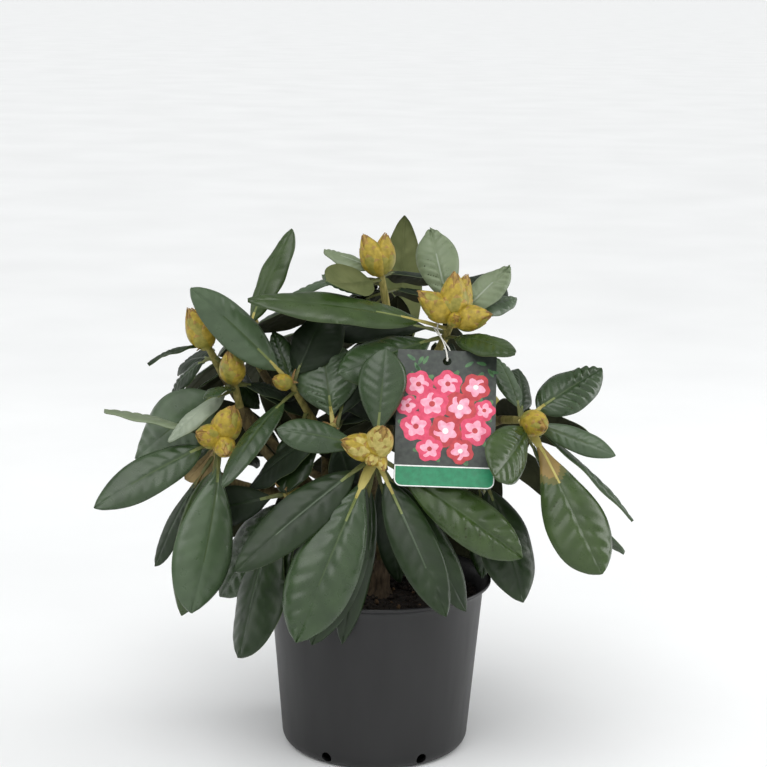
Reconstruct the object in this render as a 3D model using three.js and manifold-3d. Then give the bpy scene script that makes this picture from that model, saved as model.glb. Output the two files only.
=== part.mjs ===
// Potted rhododendron: a young evergreen shrub in a round nursery pot, with whorls of
// leathery leaves, fat flower buds and a hang label on its top right shoot.
// Millimetres, +Z up, front towards -Y, origin at the centre of the pot's underside.
import * as THREE from 'three';
import { mergeVertices } from 'three/addons/utils/BufferGeometryUtils.js';
import Module from 'manifold-3d';

const wasm = await Module();
wasm.setup();

// Driving dimensions. A heading is [clock, toward] in degrees: clock turns clockwise from
// straight up as seen from the front, and toward leans out of that plane to the viewer.
const clearance = 0.3;

const potHeight = 143;
const potRimRadius = 95;
const potNeckRadius = 88;
const potFootRadius = 78;
const potFlatRadius = 65;
const potCornerHeight = 13;
const potLipHeight = 15;
const potLipBend = 5;
const potRimBand = 2;
const potWall = 2;
const potFloor = 3;
const potSegments = 36;
const drainCount = 6;
const drainRadius = 4.5;
const drainHeight = 8;
const drainSides = 10;

const soilTop = 127;

const trunkFoot = [2, 0, soilTop + clearance];
const trunkTop = [12, 2, 172];
const trunkFlareRadius = 12.5;
const trunkRadius = 8;
const trunkTopRadius = 6.5;
const trunkFlareShare = 0.3;
const trunkBend = 18;
const trunkSides = 10;
const trunkSteps = 7;

const limbSides = 6;
const limbSteps = 5;
const boughRadius = 5.2;
const shootRadius = 4.2;
const stemRadius = 3.4;
const stemTipRadius = 2.6;
const limbSwing = 0.45;

const petioleShare = 0.16;
const petioleHalfWidth = 1.5;
const petioleThickness = 2.6;
const leafThickness = 2;
const leafWidthShare = 0.33;
const leafRoofShare = 0.22;
const leafArches = [20, 47];
const leafBreadths = [0.92, 1.08];
// Half widths along the blade, as [place along the blade, share of the full half width].
const leafOutline = [[0, 0.1], [0.16, 0.64], [0.54, 1], [0.82, 0.82], [1, 0.1]];
const leafFirstDrop = 4;
const leafDropStep = 5;
const leafDropRange = 19;
const leafTestMargin = 0.4;
const bladeTestShare = 0.24;
// Turns of clock and toward that are tried, in this order, until a leaf grows clear.
const leafTurns = [
  [0, 0], [0, 8], [0, -8], [8, 0], [-8, 0], [8, 8], [-8, -8], [8, -8], [-8, 8],
  [0, 16], [0, -16], [16, 0], [-16, 0], [16, 16], [-16, -16],
];

const budLength = 34;
const budRadius = 9;
const budSides = 6;
const budSink = 4;
const budSpread = 6;
const budOutline = [[0, 0.4], [0.3, 0.97], [0.6, 0.92], [1, 0.1]];

const labelWidth = 78;
const labelHeight = 113;
const labelThickness = 0.8;
const labelCorner = 6;
const labelHoleRadius = 3.5;
const labelHoleDrop = 9;
const labelHole = [53, -52.5, 334.7];
const labelSlope = 31;
const labelTurn = 1.2;

const tieRadius = 0.8;
const tieKnotRadius = 1.5;
const tieSteps = 80;
const tieShare = 0.065;
const tieSlack = 1.2;
const tieStrandApart = 1.8;
const tieStrandRise = 2;
const tieStrandFront = 2.2;
const tieStrandBack = 3;

// The rule for leaves that are not listed: how far they open from the shoot, how long they
// are, how much they droop, and how far to the back a leaf of a listed whorl has to point.
const goldenTurn = 137.508;
const moreOpens = [58, 102];
const moreLengths = [88, 118];
const moreDroop = 0.25;
const moreBackDroop = 0.75;
const moreBackShare = 0.15;
const moreTries = 6;

// Main boughs: where each leaves the trunk, as a share of its height, and where it forks.
const boughs = [
  { name: 'bough_left', at: 0.62, fork: [-50, -20, 214], axis: [-55, 15] },
  { name: 'bough_right', at: 0.76, fork: [66, -14, 206], axis: [52, 10] },
  { name: 'bough_back', at: 0.88, fork: [-4, 54, 214], axis: [0, -50] },
  { name: 'bough_centre', at: 1, fork: [20, 2, 252], axis: [6, 0] },
];

// Whorls: the shoot's tip, its heading, the limb it leaves and where along that limb, the
// length of green stem, and its buds as [clock, toward, size]. Then comes how many leaves the
// rule adds on the sides that do not show, from which turn on, and the leaves that show from
// the front, as [clock, toward, length, drop below the tip, roll, breadth].
const whorls = [
  {
    name: 'front', tip: [-2, -97, 273], axis: [5, 55], limb: 'trunk', at: 0.5, stem: 40,
    buds: [[13, 47, 1.15], [298, 40, 1.1], [228, 75, 0.7], [150, 50, 0.6]], more: 0, turn: 300,
    leaves: [
      [204, 26, 157, 16, 0, 0.95], [5, -18, 81, 4, 0, 1.42], [285, 10, 80, 5, 0, 0.95],
      [153, 25, 137, 15, 0, 0.75], [123, 9, 139, 12, 0, 0.85], [233, 22, 142, 14, 0, 0.72],
      [198, 11, 154, 18, 0, 0.85], [181, 5, 150, 20, 0, 0.5], [148, 8, 140, 18, 0, 0.7],
      [169, -18, 120, 20, 0, 0.6],
    ],
  },
  {
    name: 'top_right', tip: [59, -25, 366], axis: [20, 35], limb: 'bough_centre', at: 0.92, stem: 42,
    buds: [[309, 20, 1.15], [1, 15, 1.25], [17, -10, 1.1], [74, 35, 1.1], [23, 75, 0.7]],
    more: 2, turn: 320,
    leaves: [
      [279, 9, 164, 15, 8, 0.7], [345, -38, 88, 6, -25, 1.05], [47, -24, 74, 14],
      [70, -34, 75, 6, 0, 0.8], [88, 53, 88, 26, 15, 0.9], [256, 40, 103, 24, 0, 1.15],
    ],
  },
  {
    name: 'right', tip: [120, -55, 289], axis: [70, 58], limb: 'bough_right', at: 1, stem: 38,
    buds: [[79, 72, 1.1]], more: 0, turn: 0,
    leaves: [
      [151, 26, 138, 10, 10, 1.05], [226, 58, 80, 2, 0, 1.45], [61, -26, 81, 8, -40, 1.45],
      [107, 19, 79, 10, 0, 0.75], [131, 7, 119, 10, 300, 0.5], [142, -5, 144, 14, 90, 0.5],
      [335, -44, 66, 14, 5, 1.1], [0, -58, 60, 14, 0, 1.6],
    ],
  },
  {
    name: 'left', tip: [-125, -45, 270], axis: [20, 40], limb: 'bough_left', at: 1, stem: 36,
    buds: [[21, 35, 1.25], [303, 57, 1.05], [130, 74, 0.95]], more: 1, turn: 85,
    leaves: [
      [244, 23, 116, 4, 0, 0.92], [188, 27, 139, 10, -12, 1.1], [280, -18, 104, 8, 42, 0.8],
      [227, -30, 66, 8, 0, 0.35], [207, -9, 116, 24, 30, 0.5], [192, 5, 145, 10, 0, 0.8],
      [218, -18, 54, 8, 170, 1.2],
    ],
  },
  {
    name: 'inner_left', tip: [-73, -25, 312], axis: [335, 35], limb: 'bough_left', at: 0.9, stem: 66,
    buds: [[300, 50, 0.7]], more: 4, turn: 25,
    leaves: [
      [316, 12, 116, 6, 0, 0.8], [222, 41, 118, 14, 0, 0.6], [334, -39, 60, 14],
      [24, -34, 74, 8, 0, 1.6], [196, 38, 76, 40, 0, 1.15],
    ],
  },
  {
    name: 'mid_left', tip: [-119, -15, 312], axis: [350, 25], limb: 'bough_left', at: 0.84, stem: 30,
    buds: [[357, 35, 1.1]], more: 1, turn: 45,
    leaves: [
      [229, -18, 118, 6, -45, 1.42], [276, 64, 50, 12, 0, 0.8], [236, 40, 78, 12, 0, 0.75],
      [100, -25, 55, 8, 0, 1.3],
    ],
  },
  {
    name: 'upper_left', tip: [-141, -5, 337], axis: [338, 32], limb: 'bough_left', at: 0.75, stem: 36,
    buds: [[337, 20, 1.2]], more: 2, turn: 178,
    leaves: [[255, 23, 52, 1, 30, 0.75], [223, -31, 66, 15, 0, 0.9], [143, -20, 66, 12, 0, 1.1]],
  },
  {
    name: 'top', tip: [-1, 25, 396], axis: [350, 10], limb: 'bough_centre', at: 1, stem: 36,
    buds: [[337, 14, 1.15], [5, 8, 1.05]], more: 4, turn: 180,
    leaves: [
      [109, -51, 100, 20, 0, 1.2], [290, -13, 52, 4, -4, 1.2], [276, 50, 70, 8, 140, 1.5],
      [273, -31, 60, 14, 0, 0.9], [258, -14, 80, 10, 0, 0.7], [217, -34, 115, 24, 0, 1.2],
    ],
  },
  {
    name: 'inner', tip: [-37, -45, 281], axis: [350, 30], limb: 'bough_centre', at: 0.35, stem: 30,
    buds: [], more: 6, turn: 15,
    leaves: [
      [350, -30, 76, 6, 0, 1.95], [24, -40, 98, 10], [165, -29, 60, 10, 0, 0.9],
      [180, -55, 70, 12, 0, 1.2],
    ],
  },
  {
    name: 'low_left', tip: [-75, -45, 223], axis: [270, 40], limb: 'bough_left', at: 0.6, stem: 26,
    buds: [], more: 3, turn: 5,
    leaves: [[197, 23, 138, 6, 0, 1.3], [188, 28, 84, 9, 0, 0.9], [215, 5, 112, 14, 0, 1.3]],
  },
  {
    name: 'low_right', tip: [87, -40, 242], axis: [90, 40], limb: 'bough_right', at: 0.7, stem: 26,
    buds: [], more: 2, turn: 40,
    leaves: [[160, 28, 112, 6, 35, 1.25], [176, 0, 90, 9, 40, 0.7]],
  },
  {
    name: 'back_left', tip: [-117, 75, 328], axis: [325, -30], limb: 'bough_back', at: 0.85, stem: 36,
    buds: [[325, -30, 1.1], [20, -60]], more: 7, turn: 315,
    leaves: [[22, -16, 105, 4, 75, 0.8]],
  },
  {
    name: 'back_right', tip: [100, 85, 258], axis: [60, -45], limb: 'bough_right', at: 0.86, stem: 36,
    buds: [[60, -45, 1.1], [10, -60]], more: 8, turn: 65, leaves: [],
  },
  {
    name: 'back', tip: [9, 115, 275], axis: [0, -55], limb: 'bough_back', at: 1, stem: 36,
    buds: [[0, -55, 1.1], [60, -40], [300, -45]], more: 9, turn: 120,
    leaves: [[4, -24, 165, 4, -12, 0.68]],
  },
  {
    name: 'low_back_left', tip: [-78, 62, 228], axis: [290, -45], limb: 'bough_back', at: 0.6, stem: 26,
    buds: [], more: 7, turn: 50, leaves: [],
  },
  {
    name: 'low_back_right', tip: [70, 60, 212], axis: [80, -45], limb: 'trunk', at: 0.94, stem: 26,
    buds: [], more: 6, turn: 205, leaves: [],
  },
];

const finishes = {
  pot: { color: 0x1d1e20, roughness: 0.55, metalness: 0 },
  soil: { color: 0x1f1813, roughness: 0.95, metalness: 0 },
  bark: { color: 0x6b5a44, roughness: 0.8, metalness: 0 },
  leaf: { color: 0x2f4a2c, roughness: 0.5, metalness: 0 },
  label: { color: 0x2c3a33, roughness: 0.4, metalness: 0 },
  tie: { color: 0xe9e9e4, roughness: 0.7, metalness: 0 },
};

const radians = THREE.MathUtils.degToRad;
const lerp = THREE.MathUtils.lerp;
const point = ([x, y, z]) => new THREE.Vector3(x, y, z);

function heading([clock, toward]) {
  const flat = Math.cos(radians(toward));
  return new THREE.Vector3(
    Math.sin(radians(clock)) * flat, -Math.sin(radians(toward)), Math.cos(radians(clock)) * flat);
}

function headingOf(direction) {
  const clock = THREE.MathUtils.radToDeg(Math.atan2(direction.x, direction.z));
  return [clock, -THREE.MathUtils.radToDeg(Math.asin(direction.y))];
}

// A number from 0 to 1 that depends only on its keys, so a skipped leaf shifts no other.
function chance(...keys) {
  let state = 2166136261;
  for (const key of keys.join('/')) {
    state = Math.imul(state ^ key.charCodeAt(0), 16777619);
  }
  state = Math.imul(state ^ (state >>> 15), 2246822519);
  return ((state ^ (state >>> 13)) >>> 0) / 4294967296;
}

function solidOf(geometry) {
  const bare = new THREE.BufferGeometry();
  bare.setAttribute('position', geometry.getAttribute('position').clone());
  if (geometry.index) bare.setIndex(geometry.index.clone());
  const merged = mergeVertices(bare, 1e-4);
  const corners = merged.index.array;
  const faces = [];
  for (let i = 0; i < corners.length; i += 3) {
    const [a, b, c] = corners.slice(i, i + 3);
    if (a !== b && b !== c && c !== a) faces.push(a, b, c);
  }
  return new wasm.Manifold(new wasm.Mesh({
    numProp: 3,
    vertProperties: new Float32Array(merged.getAttribute('position').array),
    triVerts: new Uint32Array(faces),
  }));
}

function geometryOf(solid) {
  const mesh = solid.getMesh();
  const geometry = new THREE.BufferGeometry();
  geometry.setAttribute('position', new THREE.BufferAttribute(mesh.vertProperties, mesh.numProp));
  geometry.setIndex(new THREE.BufferAttribute(mesh.triVerts, 1));
  geometry.computeVertexNormals();
  return geometry;
}

function largestBody(solid) {
  return solid.decompose().reduce((best, body) => (body.volume() > best.volume() ? body : best));
}

// A closed skin over rings of equally many points, with a fan over each end.
function loft(rings) {
  const count = rings[0].length;
  const positions = rings.flat().flatMap((corner) => corner.toArray());
  const faces = [];
  for (let ring = 0; ring + 1 < rings.length; ring += 1) {
    for (let side = 0; side < count; side += 1) {
      const a = ring * count + side;
      const b = ring * count + (side + 1) % count;
      faces.push(a, b, b + count, a, b + count, a + count);
    }
  }
  const last = (rings.length - 1) * count;
  for (let side = 2; side < count; side += 1) {
    const next = (side + 1) % count;
    faces.push(1, next, side, last + 1, last + side, last + next);
  }
  const geometry = new THREE.BufferGeometry();
  geometry.setAttribute('position', new THREE.Float32BufferAttribute(positions, 3));
  geometry.setIndex(faces);
  return geometry;
}

// Round ring about a direction; the sense makes a loft along that direction face outward.
function ring(centre, direction, across, radius, sides) {
  const right = new THREE.Vector3().crossVectors(across, direction).normalize();
  const up = new THREE.Vector3().crossVectors(direction, right);
  return Array.from({ length: sides }, (_, side) => {
    const angle = (side / sides) * 2 * Math.PI;
    return centre.clone()
      .addScaledVector(right, Math.cos(angle) * radius)
      .addScaledVector(up, Math.sin(angle) * radius);
  });
}

function acrossOf(direction) {
  return Math.abs(direction.y) < 0.7 ? new THREE.Vector3(0, 1, 0) : new THREE.Vector3(1, 0, 0);
}

// Tapering limb along a curve; extra thickens and lengthens it for cutting a clear seat.
function limbSolid(curve, startRadius, endRadius, extra = 0) {
  const across = acrossOf(curve.getPoint(1).sub(curve.getPoint(0)).normalize());
  const rings = [];
  for (let step = 0; step <= limbSteps; step += 1) {
    const share = step / limbSteps;
    const direction = curve.getTangent(share);
    const centre = curve.getPoint(share);
    if (step === 0) centre.addScaledVector(direction, -extra);
    if (step === limbSteps) centre.addScaledVector(direction, extra);
    rings.push(ring(centre, direction, across, lerp(startRadius, endRadius, share) + extra, limbSides));
  }
  return solidOf(loft(rings));
}

// Curve that leaves start and arrives at end along the given heading.
function limbCurve(start, end, axis) {
  const control = end.clone().addScaledVector(axis, -limbSwing * start.distanceTo(end));
  return new THREE.QuadraticBezierCurve3(start, control, end);
}

const shrub = new THREE.Group();
let occupied = null;

function place(name, geometry, finish) {
  const mesh = new THREE.Mesh(geometry, new THREE.MeshStandardMaterial(finish));
  mesh.name = name;
  shrub.add(mesh);
  return mesh;
}

function occupy(solid) {
  occupied = occupied ? occupied.add(solid) : solid;
}

// Pot: one thin turned wall with a flared lip, and drain holes round its lower corner.
function potProfile() {
  const shoulder = potHeight - potLipHeight;
  const path = new THREE.Path();
  path.moveTo(0, 0);
  path.lineTo(potFlatRadius, 0);
  path.quadraticCurveTo(potFootRadius, 0, potFootRadius, potCornerHeight);
  path.lineTo(potNeckRadius, shoulder);
  path.quadraticCurveTo(potNeckRadius, potHeight - potLipBend, potRimRadius, potHeight - potRimBand);
  path.lineTo(potRimRadius, potHeight);
  path.lineTo(potRimRadius - potWall, potHeight);
  path.quadraticCurveTo(potNeckRadius, potHeight - potLipBend + potWall, potNeckRadius - potWall, shoulder);
  path.lineTo(potFootRadius - potWall, potCornerHeight);
  path.quadraticCurveTo(potFootRadius - potWall, potFloor, potFlatRadius, potFloor);
  path.lineTo(0, potFloor);
  return path.getPoints(2);
}

function buildPot() {
  let wall = solidOf(new THREE.LatheGeometry(potProfile(), potSegments).rotateX(Math.PI / 2));
  for (let drain = 0; drain < drainCount; drain += 1) {
    const cutter = new THREE.CylinderGeometry(drainRadius, drainRadius, potFootRadius, drainSides)
      .translate(0, potFootRadius, 0)
      .rotateZ(((drain + 0.5) / drainCount) * 2 * Math.PI)
      .translate(0, 0, drainHeight);
    wall = wall.subtract(solidOf(cutter));
  }
  occupy(wall);
  place('pot', geometryOf(wall), finishes.pot);
}

function buildSoil() {
  const share = (soilTop - potCornerHeight) / (potHeight - potLipHeight - potCornerHeight);
  const inset = potWall + clearance;
  const outline = [
    [0, potFloor + clearance],
    [potFlatRadius - potCornerHeight, potFloor + clearance],
    [potFootRadius - inset, potCornerHeight + potFloor],
    [lerp(potFootRadius, potNeckRadius, share) - inset, soilTop],
    [0, soilTop],
  ].map(([radius, height]) => new THREE.Vector2(radius, height));
  const plug = solidOf(new THREE.LatheGeometry(outline, potSegments).rotateX(Math.PI / 2));
  occupy(plug);
  place('soil', geometryOf(plug), finishes.soil);
}

// Limbs by name, so that a shoot can leave any of them.
const limbs = new Map();

function addLimb(name, curve, startRadius, endRadius) {
  let wood = limbSolid(curve, startRadius, endRadius);
  for (const other of limbs.values()) wood = wood.subtract(other.seat);
  wood = largestBody(wood);
  limbs.set(name, { curve, seat: limbSolid(curve, startRadius, endRadius, clearance) });
  occupy(wood);
  place(name, geometryOf(wood), finishes.bark);
}

function buildTrunk() {
  const foot = point(trunkFoot);
  const top = point(trunkTop);
  const bend = new THREE.Vector3(foot.x, foot.y, top.z - trunkBend);
  const curve = new THREE.QuadraticBezierCurve3(foot, bend, top);
  const across = new THREE.Vector3(0, 1, 0);
  const up = new THREE.Vector3(0, 0, 1);
  const radiusAt = (share) => {
    const flare = Math.max(0, 1 - share / trunkFlareShare) ** 2;
    return lerp(trunkRadius, trunkTopRadius, share) + flare * (trunkFlareRadius - trunkRadius);
  };
  const skin = (extra) => {
    const rings = [];
    for (let step = 0; step <= trunkSteps; step += 1) {
      const share = step / trunkSteps;
      const centre = curve.getPoint(share);
      if (step === trunkSteps) centre.z += extra;
      rings.push(ring(centre, up, across, radiusAt(share) + extra, trunkSides));
    }
    return solidOf(loft(rings));
  };
  const wood = skin(0);
  limbs.set('trunk', { curve, seat: skin(clearance) });
  occupy(wood);
  place('trunk', geometryOf(wood), finishes.bark);
}

function buildBoughs() {
  const trunk = limbs.get('trunk').curve;
  for (const bough of boughs) {
    const curve = limbCurve(trunk.getPoint(bough.at), point(bough.fork), heading(bough.axis));
    addLimb(bough.name, curve, boughRadius, shootRadius);
  }
}

function stemBase(whorl) {
  return point(whorl.tip).addScaledVector(heading(whorl.axis), -whorl.stem);
}

function buildShoots() {
  for (const whorl of whorls) {
    const axis = heading(whorl.axis);
    const end = stemBase(whorl).addScaledVector(axis, -clearance);
    const curve = limbCurve(limbs.get(whorl.limb).curve.getPoint(whorl.at), end, axis);
    addLimb(`shoot_${whorl.name}`, curve, shootRadius, stemRadius);
  }
}

// Leaf: an arched, roof-shaped blade on a petiole, from its root to its tip.
function leafFrame(leaf, turn) {
  const along = heading([leaf.clock + turn[0], leaf.toward + turn[1]]);
  const face = leaf.axis.clone().addScaledVector(along, -leaf.axis.dot(along)).normalize();
  face.applyAxisAngle(along, radians(leaf.roll));
  return { along, face, side: new THREE.Vector3().crossVectors(along, face) };
}

// Point on a leaf's arched rib, at a share of its length, and the blade's normal there.
function ribAt(leaf, { along, face }, share) {
  const half = radians(leaf.arch) / 2;
  const radius = leaf.length / (2 * Math.sin(half));
  const angle = half * (2 * share - 1);
  const centre = leaf.root.clone()
    .addScaledVector(along, leaf.length / 2 + radius * Math.sin(angle))
    .addScaledVector(face, radius * (Math.cos(angle) - Math.cos(half)));
  const normal = face.clone().multiplyScalar(Math.cos(angle)).addScaledVector(along, Math.sin(angle));
  return { centre, normal };
}

function leafSolid(leaf, turn, margin = 0, firstShare = 0) {
  const frame = leafFrame(leaf, turn);
  const width = (leaf.length * leaf.widthShare) / 2;
  const section = (share, halfWidth, thickness) => {
    const { centre, normal } = ribAt(leaf, frame, share);
    const edge = (sign) => centre.clone()
      .addScaledVector(frame.side, sign * halfWidth)
      .addScaledVector(normal, -halfWidth * leafRoofShare);
    const ridge = (sign) => centre.clone().addScaledVector(normal, (sign * thickness) / 2);
    return [edge(-1), ridge(1), edge(1), ridge(-1)];
  };
  const rings = [];
  if (firstShare === 0) rings.push(section(0, petioleHalfWidth + margin, petioleThickness + 2 * margin));
  for (const [place, share] of leafOutline) {
    const thickness = place === 0 ? petioleThickness : leafThickness;
    const halfWidth = Math.max(width * share, place < 1 ? petioleHalfWidth : 0);
    const along01 = lerp(petioleShare, 1, place);
    if (along01 >= firstShare) rings.push(section(along01, halfWidth + margin, thickness + 2 * margin));
  }
  return solidOf(loft(rings));
}

function budSolid(root, direction, length, radius) {
  const across = acrossOf(direction);
  return solidOf(loft(budOutline.map(([share, wide]) => ring(
    root.clone().addScaledVector(direction, share * length), direction, across, wide * radius, budSides))));
}

// Directions about an axis: turn goes round it, open leans away from it.
function splay(axis, turn, open) {
  const right = new THREE.Vector3().crossVectors(acrossOf(axis), axis).normalize();
  const outward = right.applyAxisAngle(axis, radians(turn));
  return axis.clone()
    .multiplyScalar(Math.cos(radians(open)))
    .addScaledVector(outward, Math.sin(radians(open)));
}

function leafOn(whorl, axis, order, row) {
  const [clock, toward, length, drop = null, roll = 0, breadth = 1] = row;
  const down = drop ?? leafFirstDrop + (order * leafDropStep) % leafDropRange;
  return {
    clock, toward, length, roll, axis,
    root: point(whorl.tip).addScaledVector(axis, -down),
    arch: lerp(...leafArches, chance(whorl.name, order, 'arch')),
    widthShare: leafWidthShare * breadth * lerp(...leafBreadths, chance(whorl.name, order, 'width')),
  };
}

// Leaves that the rule adds round the axis, drooping a little: on the far side of a whorl
// whose front leaves are listed, and all round one that shows little or none.
function moreLeaves(whorl, axis) {
  const listed = whorl.leaves.length > 1;
  const rows = [];
  for (let step = 0; rows.length < whorl.more && step < moreTries * whorl.more; step += 1) {
    const open = lerp(...moreOpens, chance(whorl.name, step, 'open'));
    const direction = splay(axis, step * goldenTurn + whorl.turn, open);
    direction.z -= listed ? moreBackDroop : moreDroop;
    direction.normalize();
    const length = lerp(...moreLengths, chance(whorl.name, step, 'length'));
    if (!listed || direction.y > moreBackShare) rows.push([...headingOf(direction), length]);
  }
  return rows;
}

// Stem and buds of a whorl, which its leaves then grow on.
function whorlCore(whorl) {
  const tip = point(whorl.tip);
  const axis = heading(whorl.axis);
  let core = limbSolid(new THREE.LineCurve3(stemBase(whorl), tip), stemRadius, stemTipRadius);
  for (const [clock, toward, size = 1] of whorl.buds) {
    const direction = heading([clock, toward]);
    const aside = direction.clone().addScaledVector(axis, -direction.dot(axis));
    const root = tip.clone().addScaledVector(aside, budSpread).addScaledVector(direction, -budSink);
    core = core.add(budSolid(root, direction, budLength * size, budRadius * size));
  }
  return core;
}

function growWhorl(whorl, core, coresToCome) {
  const axis = heading(whorl.axis);
  const obstacles = [occupied, ...coresToCome];
  const blades = [];
  let mass = core;
  const rows = [...whorl.leaves, ...moreLeaves(whorl, axis)];
  rows.forEach((row, order) => {
    const leaf = leafOn(whorl, axis, order, row);
    const turn = leafTurns.find((candidate) => {
      const whole = leafSolid(leaf, candidate, leafTestMargin);
      const blade = leafSolid(leaf, candidate, leafTestMargin, bladeTestShare);
      return obstacles.every((other) => whole.intersect(other).isEmpty())
        && blades.every((other) => blade.intersect(other).isEmpty());
    });
    if (!turn) return;
    blades.push(leafSolid(leaf, turn, 0, bladeTestShare));
    mass = mass.add(leafSolid(leaf, turn));
  });
  mass = largestBody(mass);
  occupy(mass);
  place(`foliage_${whorl.name}`, geometryOf(mass), finishes.leaf);
}

// Label: a rounded card with a punched hole, hung by a tie and leaning on the leaves below.
function labelShape() {
  const left = -labelWidth / 2;
  const top = labelHoleDrop;
  const bottom = top - labelHeight;
  const shape = new THREE.Shape();
  shape.moveTo(left, top);
  shape.lineTo(left, bottom + labelCorner);
  shape.quadraticCurveTo(left, bottom, left + labelCorner, bottom);
  shape.lineTo(-left - labelCorner, bottom);
  shape.quadraticCurveTo(-left, bottom, -left, bottom + labelCorner);
  shape.lineTo(-left, top);
  shape.closePath();
  shape.holes.push(new THREE.Path().absarc(0, 0, labelHoleRadius, 0, 2 * Math.PI, true));
  return shape;
}

function buildLabel() {
  const card = new THREE.ExtrudeGeometry(labelShape(), {
    depth: labelThickness, bevelEnabled: false, curveSegments: 6,
  });
  const mesh = place('label', card, finishes.label);
  mesh.position.copy(point(labelHole));
  mesh.rotation.set(radians(90 - labelSlope), 0, radians(-labelTurn));
  mesh.updateMatrixWorld();
  occupy(solidOf(card.clone().applyMatrix4(mesh.matrixWorld)));
  return mesh;
}

// Tie: one white cord through the label's hole and over a leaf's petiole, closed by a knot.
function buildTie(label) {
  const whorl = whorls.find(({ name }) => name === 'top_right');
  const leaf = leafOn(whorl, heading(whorl.axis), 0, whorl.leaves[0]);
  const frame = leafFrame(leaf, [0, 0]);
  const { centre, normal } = ribAt(leaf, frame, tieShare);
  const bend = petioleHalfWidth + tieRadius + 3 * clearance;
  const seat = labelHoleRadius - tieRadius - 3 * clearance;
  const edge = labelHoleDrop + tieStrandRise;
  const onLabel = (x, y, z) => label.localToWorld(new THREE.Vector3(x, y, z));
  const round = (aside, above) => centre.clone()
    .addScaledVector(frame.side, aside * bend)
    .addScaledVector(normal, above * bend);
  const knot = round(-tieSlack, 0);
  const path = new THREE.CatmullRomCurve3([
    knot,
    onLabel(-tieStrandApart, edge, tieStrandFront),
    onLabel(0, seat, labelThickness + tieRadius),
    onLabel(0, seat, -tieRadius),
    onLabel(tieStrandApart, edge, -tieStrandBack),
    round(0, -tieSlack),
    round(1, 0),
    round(0, 1),
    knot,
  ]);
  const section = new THREE.Shape().absarc(0, 0, tieRadius, 0, 2 * Math.PI);
  const cord = new THREE.ExtrudeGeometry(section, {
    steps: tieSteps, extrudePath: path, bevelEnabled: false, curveSegments: 3,
  });
  const bead = new THREE.IcosahedronGeometry(tieKnotRadius, 0).translate(...knot.toArray());
  const tie = solidOf(cord).add(solidOf(bead));
  occupy(tie);
  place('label_tie', geometryOf(tie), finishes.tie);
}

buildPot();
buildSoil();
buildTrunk();
buildBoughs();
buildShoots();
buildTie(buildLabel());
const cores = whorls.map(whorlCore);
whorls.forEach((whorl, order) => growWhorl(whorl, cores[order], cores.slice(order + 1)));

export default shrub;
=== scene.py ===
# %% [markdown]
# A potted rhododendron
#
# This lesson dresses a young evergreen shrub in its nursery pot. The solids give the layout: a
# pot, a short trunk, four boughs and sixteen whorls of leaves. Here every one of them is grown
# again with real surfaces. Working in the same frame as the solids, in metres, means that no
# piece has to be fitted afterwards.

# %% Load the solids
import math

import bpy
import numpy as np
from mathutils import Matrix, Vector, noise
from mathutils.bvhtree import BVHTree


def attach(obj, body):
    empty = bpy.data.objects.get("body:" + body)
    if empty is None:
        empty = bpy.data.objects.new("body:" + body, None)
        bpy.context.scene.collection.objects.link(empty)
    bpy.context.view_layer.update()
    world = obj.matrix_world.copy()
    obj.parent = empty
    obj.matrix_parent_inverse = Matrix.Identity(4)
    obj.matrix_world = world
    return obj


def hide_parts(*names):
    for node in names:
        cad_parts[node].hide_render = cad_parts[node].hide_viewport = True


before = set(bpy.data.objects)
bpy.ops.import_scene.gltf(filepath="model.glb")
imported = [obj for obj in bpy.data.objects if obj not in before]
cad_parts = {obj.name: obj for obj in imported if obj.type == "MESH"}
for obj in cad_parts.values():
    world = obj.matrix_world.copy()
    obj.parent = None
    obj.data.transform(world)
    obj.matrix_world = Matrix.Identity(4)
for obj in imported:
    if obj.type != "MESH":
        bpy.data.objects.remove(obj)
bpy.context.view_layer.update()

MM = 0.001

# %% [markdown]
# The camera
#
# The shrub is seen from a little above its crown, from about a metre and a half away, so the far
# leaves look only slightly smaller than the near ones. A camera could be placed by eye, but the
# ellipse of the pot and the height of the rim fix it well, so its place is written as numbers.

# %% Camera
camera_place = (0.003055, -1.600, 0.6293)
camera_pitch = 11.435
camera_roll = 0.9

camera_data = bpy.data.cameras.new("camera")
camera_data.sensor_width = 36
camera_data.lens = 93.74
camera = bpy.data.objects.new("camera", camera_data)
camera.matrix_world = (
    Matrix.Translation(camera_place)
    @ Matrix.Rotation(math.radians(90 - camera_pitch), 4, "X")
    @ Matrix.Rotation(math.radians(camera_roll), 4, "Z")
)
bpy.context.scene.collection.objects.link(camera)
bpy.context.scene.camera = camera
print("camera at", camera_place, "looking down", camera_pitch, "degrees")

# %% [markdown]
# The floor
#
# The plant stands on a plain pale sheet that runs on behind it as a backdrop. A faint cloudiness
# keeps it from being a dead flat colour. The helpers here build the node materials of the whole
# lesson: noise by place on the object, a colour ramp, a wandering roughness and a fine relief.

# %% Finish helpers
def srgb(red, green, blue):
    """Linear colour, as a shader wants it, from 0 to 255 screen values."""
    shares = [value / 255 for value in (red, green, blue)]
    return [s / 12.92 if s <= 0.04045 else ((s + 0.055) / 1.055) ** 2.4 for s in shares] + [1]


def new_finish(name):
    """A node material, with its node tree and its Principled shader."""
    material = bpy.data.materials.new(name)
    material.use_nodes = True
    return material, material.node_tree, material.node_tree.nodes["Principled BSDF"]


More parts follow.
